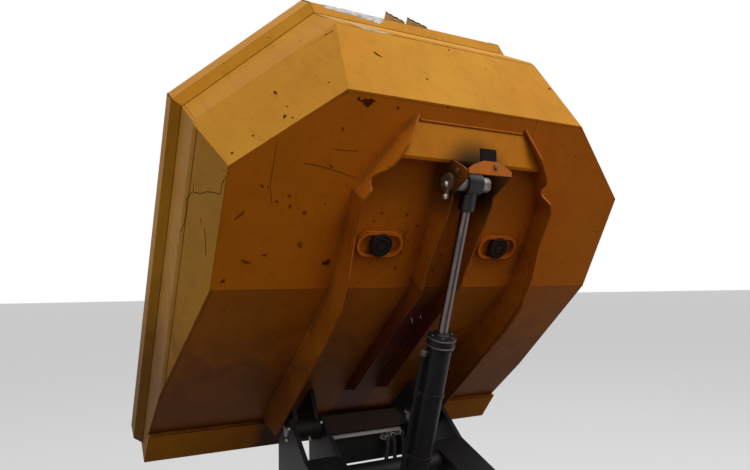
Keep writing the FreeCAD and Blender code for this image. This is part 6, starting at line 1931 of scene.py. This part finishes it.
@dataclass(frozen=True)
class Studio:
    """Plain pale floor, soft lamps and the background."""

    floor_half: float = 400.0
    floor_albedo: float = 0.16
    floor_seen: float = 0.50
    floor_glow: float = 0.36
    world_strength: float = 0.38
    aim: Triple = (0.6, 0.0, 1.3)

    def build(self) -> None:
        """Set the studio up."""
        bm = bmesh.new()
        bmesh.ops.create_grid(bm, x_segments=1, y_segments=1, size=self.floor_half)
        floor = linked("studio_floor", meshed("studio_floor", bm))
        floor.data.materials.append(self.ground())
        self.sky()
        self.lamp("key", (-3.6, -2.0, 8.0), 5.0, 390.0)
        self.lamp("top", (1.5, 2.5, 8.0), 5.0, 90.0)

    def ground(self) -> bpy.types.Material:
        """The floor: pale to the camera, darker as a source of light from below."""
        g = Graph("studio_floor")
        path = g.node("LightPath").outputs
        seen = g.maths("MAXIMUM", path["Is Camera Ray"], path["Is Glossy Ray"])
        seen = g.maths("MAXIMUM", seen, path["Is Transmission Ray"])
        glow = g.remap(seen, 0.0, 1.0, 0.0, self.floor_glow)
        g.tree.links.new(glow, g.shader.inputs["Emission Strength"])
        g.shader.inputs["Emission Color"].default_value = (1.0, 1.0, 1.0, 1.0)
        tone = g.mix(seen, (self.floor_albedo,) * 3, (self.floor_seen,) * 3)
        return g.finish(tone, 0.9, None, Specular_IOR_Level=0.1)

    def sky(self) -> None:
        """A white background to the camera, and a dimmer one as a light."""
        world = bpy.data.worlds.new("studio_sky")
        bpy.context.scene.world = world
        world.use_nodes = True
        nodes, links = world.node_tree.nodes, world.node_tree.links
        back = nodes["Background"]
        back.inputs["Color"].default_value = (1.0, 1.0, 1.0, 1.0)
        path = nodes.new("ShaderNodeLightPath")
        seen = nodes.new("ShaderNodeMath")
        seen.operation = "MAXIMUM"
        links.new(path.outputs["Is Camera Ray"], seen.inputs[0])
        links.new(path.outputs["Is Glossy Ray"], seen.inputs[1])
        share = nodes.new("ShaderNodeMapRange")
        links.new(seen.outputs[0], share.inputs["Value"])
        share.inputs["To Min"].default_value = self.world_strength
        share.inputs["To Max"].default_value = 1.0
        links.new(share.outputs["Result"], back.inputs["Strength"])

    def lamp(self, name: str, place: Triple, size: float,
             power: float) -> None:
        """A soft square lamp that looks at the skip."""
        data = bpy.data.lights.new(name, "AREA")
        data.size = size
        data.energy = power
        aim = (Vector(self.aim) - Vector(place)).to_track_quat("-Z", "Y")
        linked(name, data).matrix_world = Matrix.Translation(place) @ aim.to_matrix().to_4x4()


def main() -> None:
    """Build every group in order."""
    logging.basicConfig(level=logging.INFO, format="%(relativeCreated)d %(message)s")
    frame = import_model()
    view = Viewpoint()
    view.camera()
    shop = Shop(frame)
    for group in (Skip(shop, view), TippingRam(shop), FrontFrame(shop), Wheels(shop), Seat(shop),
                  DriverPlace(shop), EngineBay(shop), RollBar(shop)):
        group.build()
    Studio().build()
    bpy.context.scene.view_settings.view_transform = "Standard"


if __name__ == "__main__":
    main()
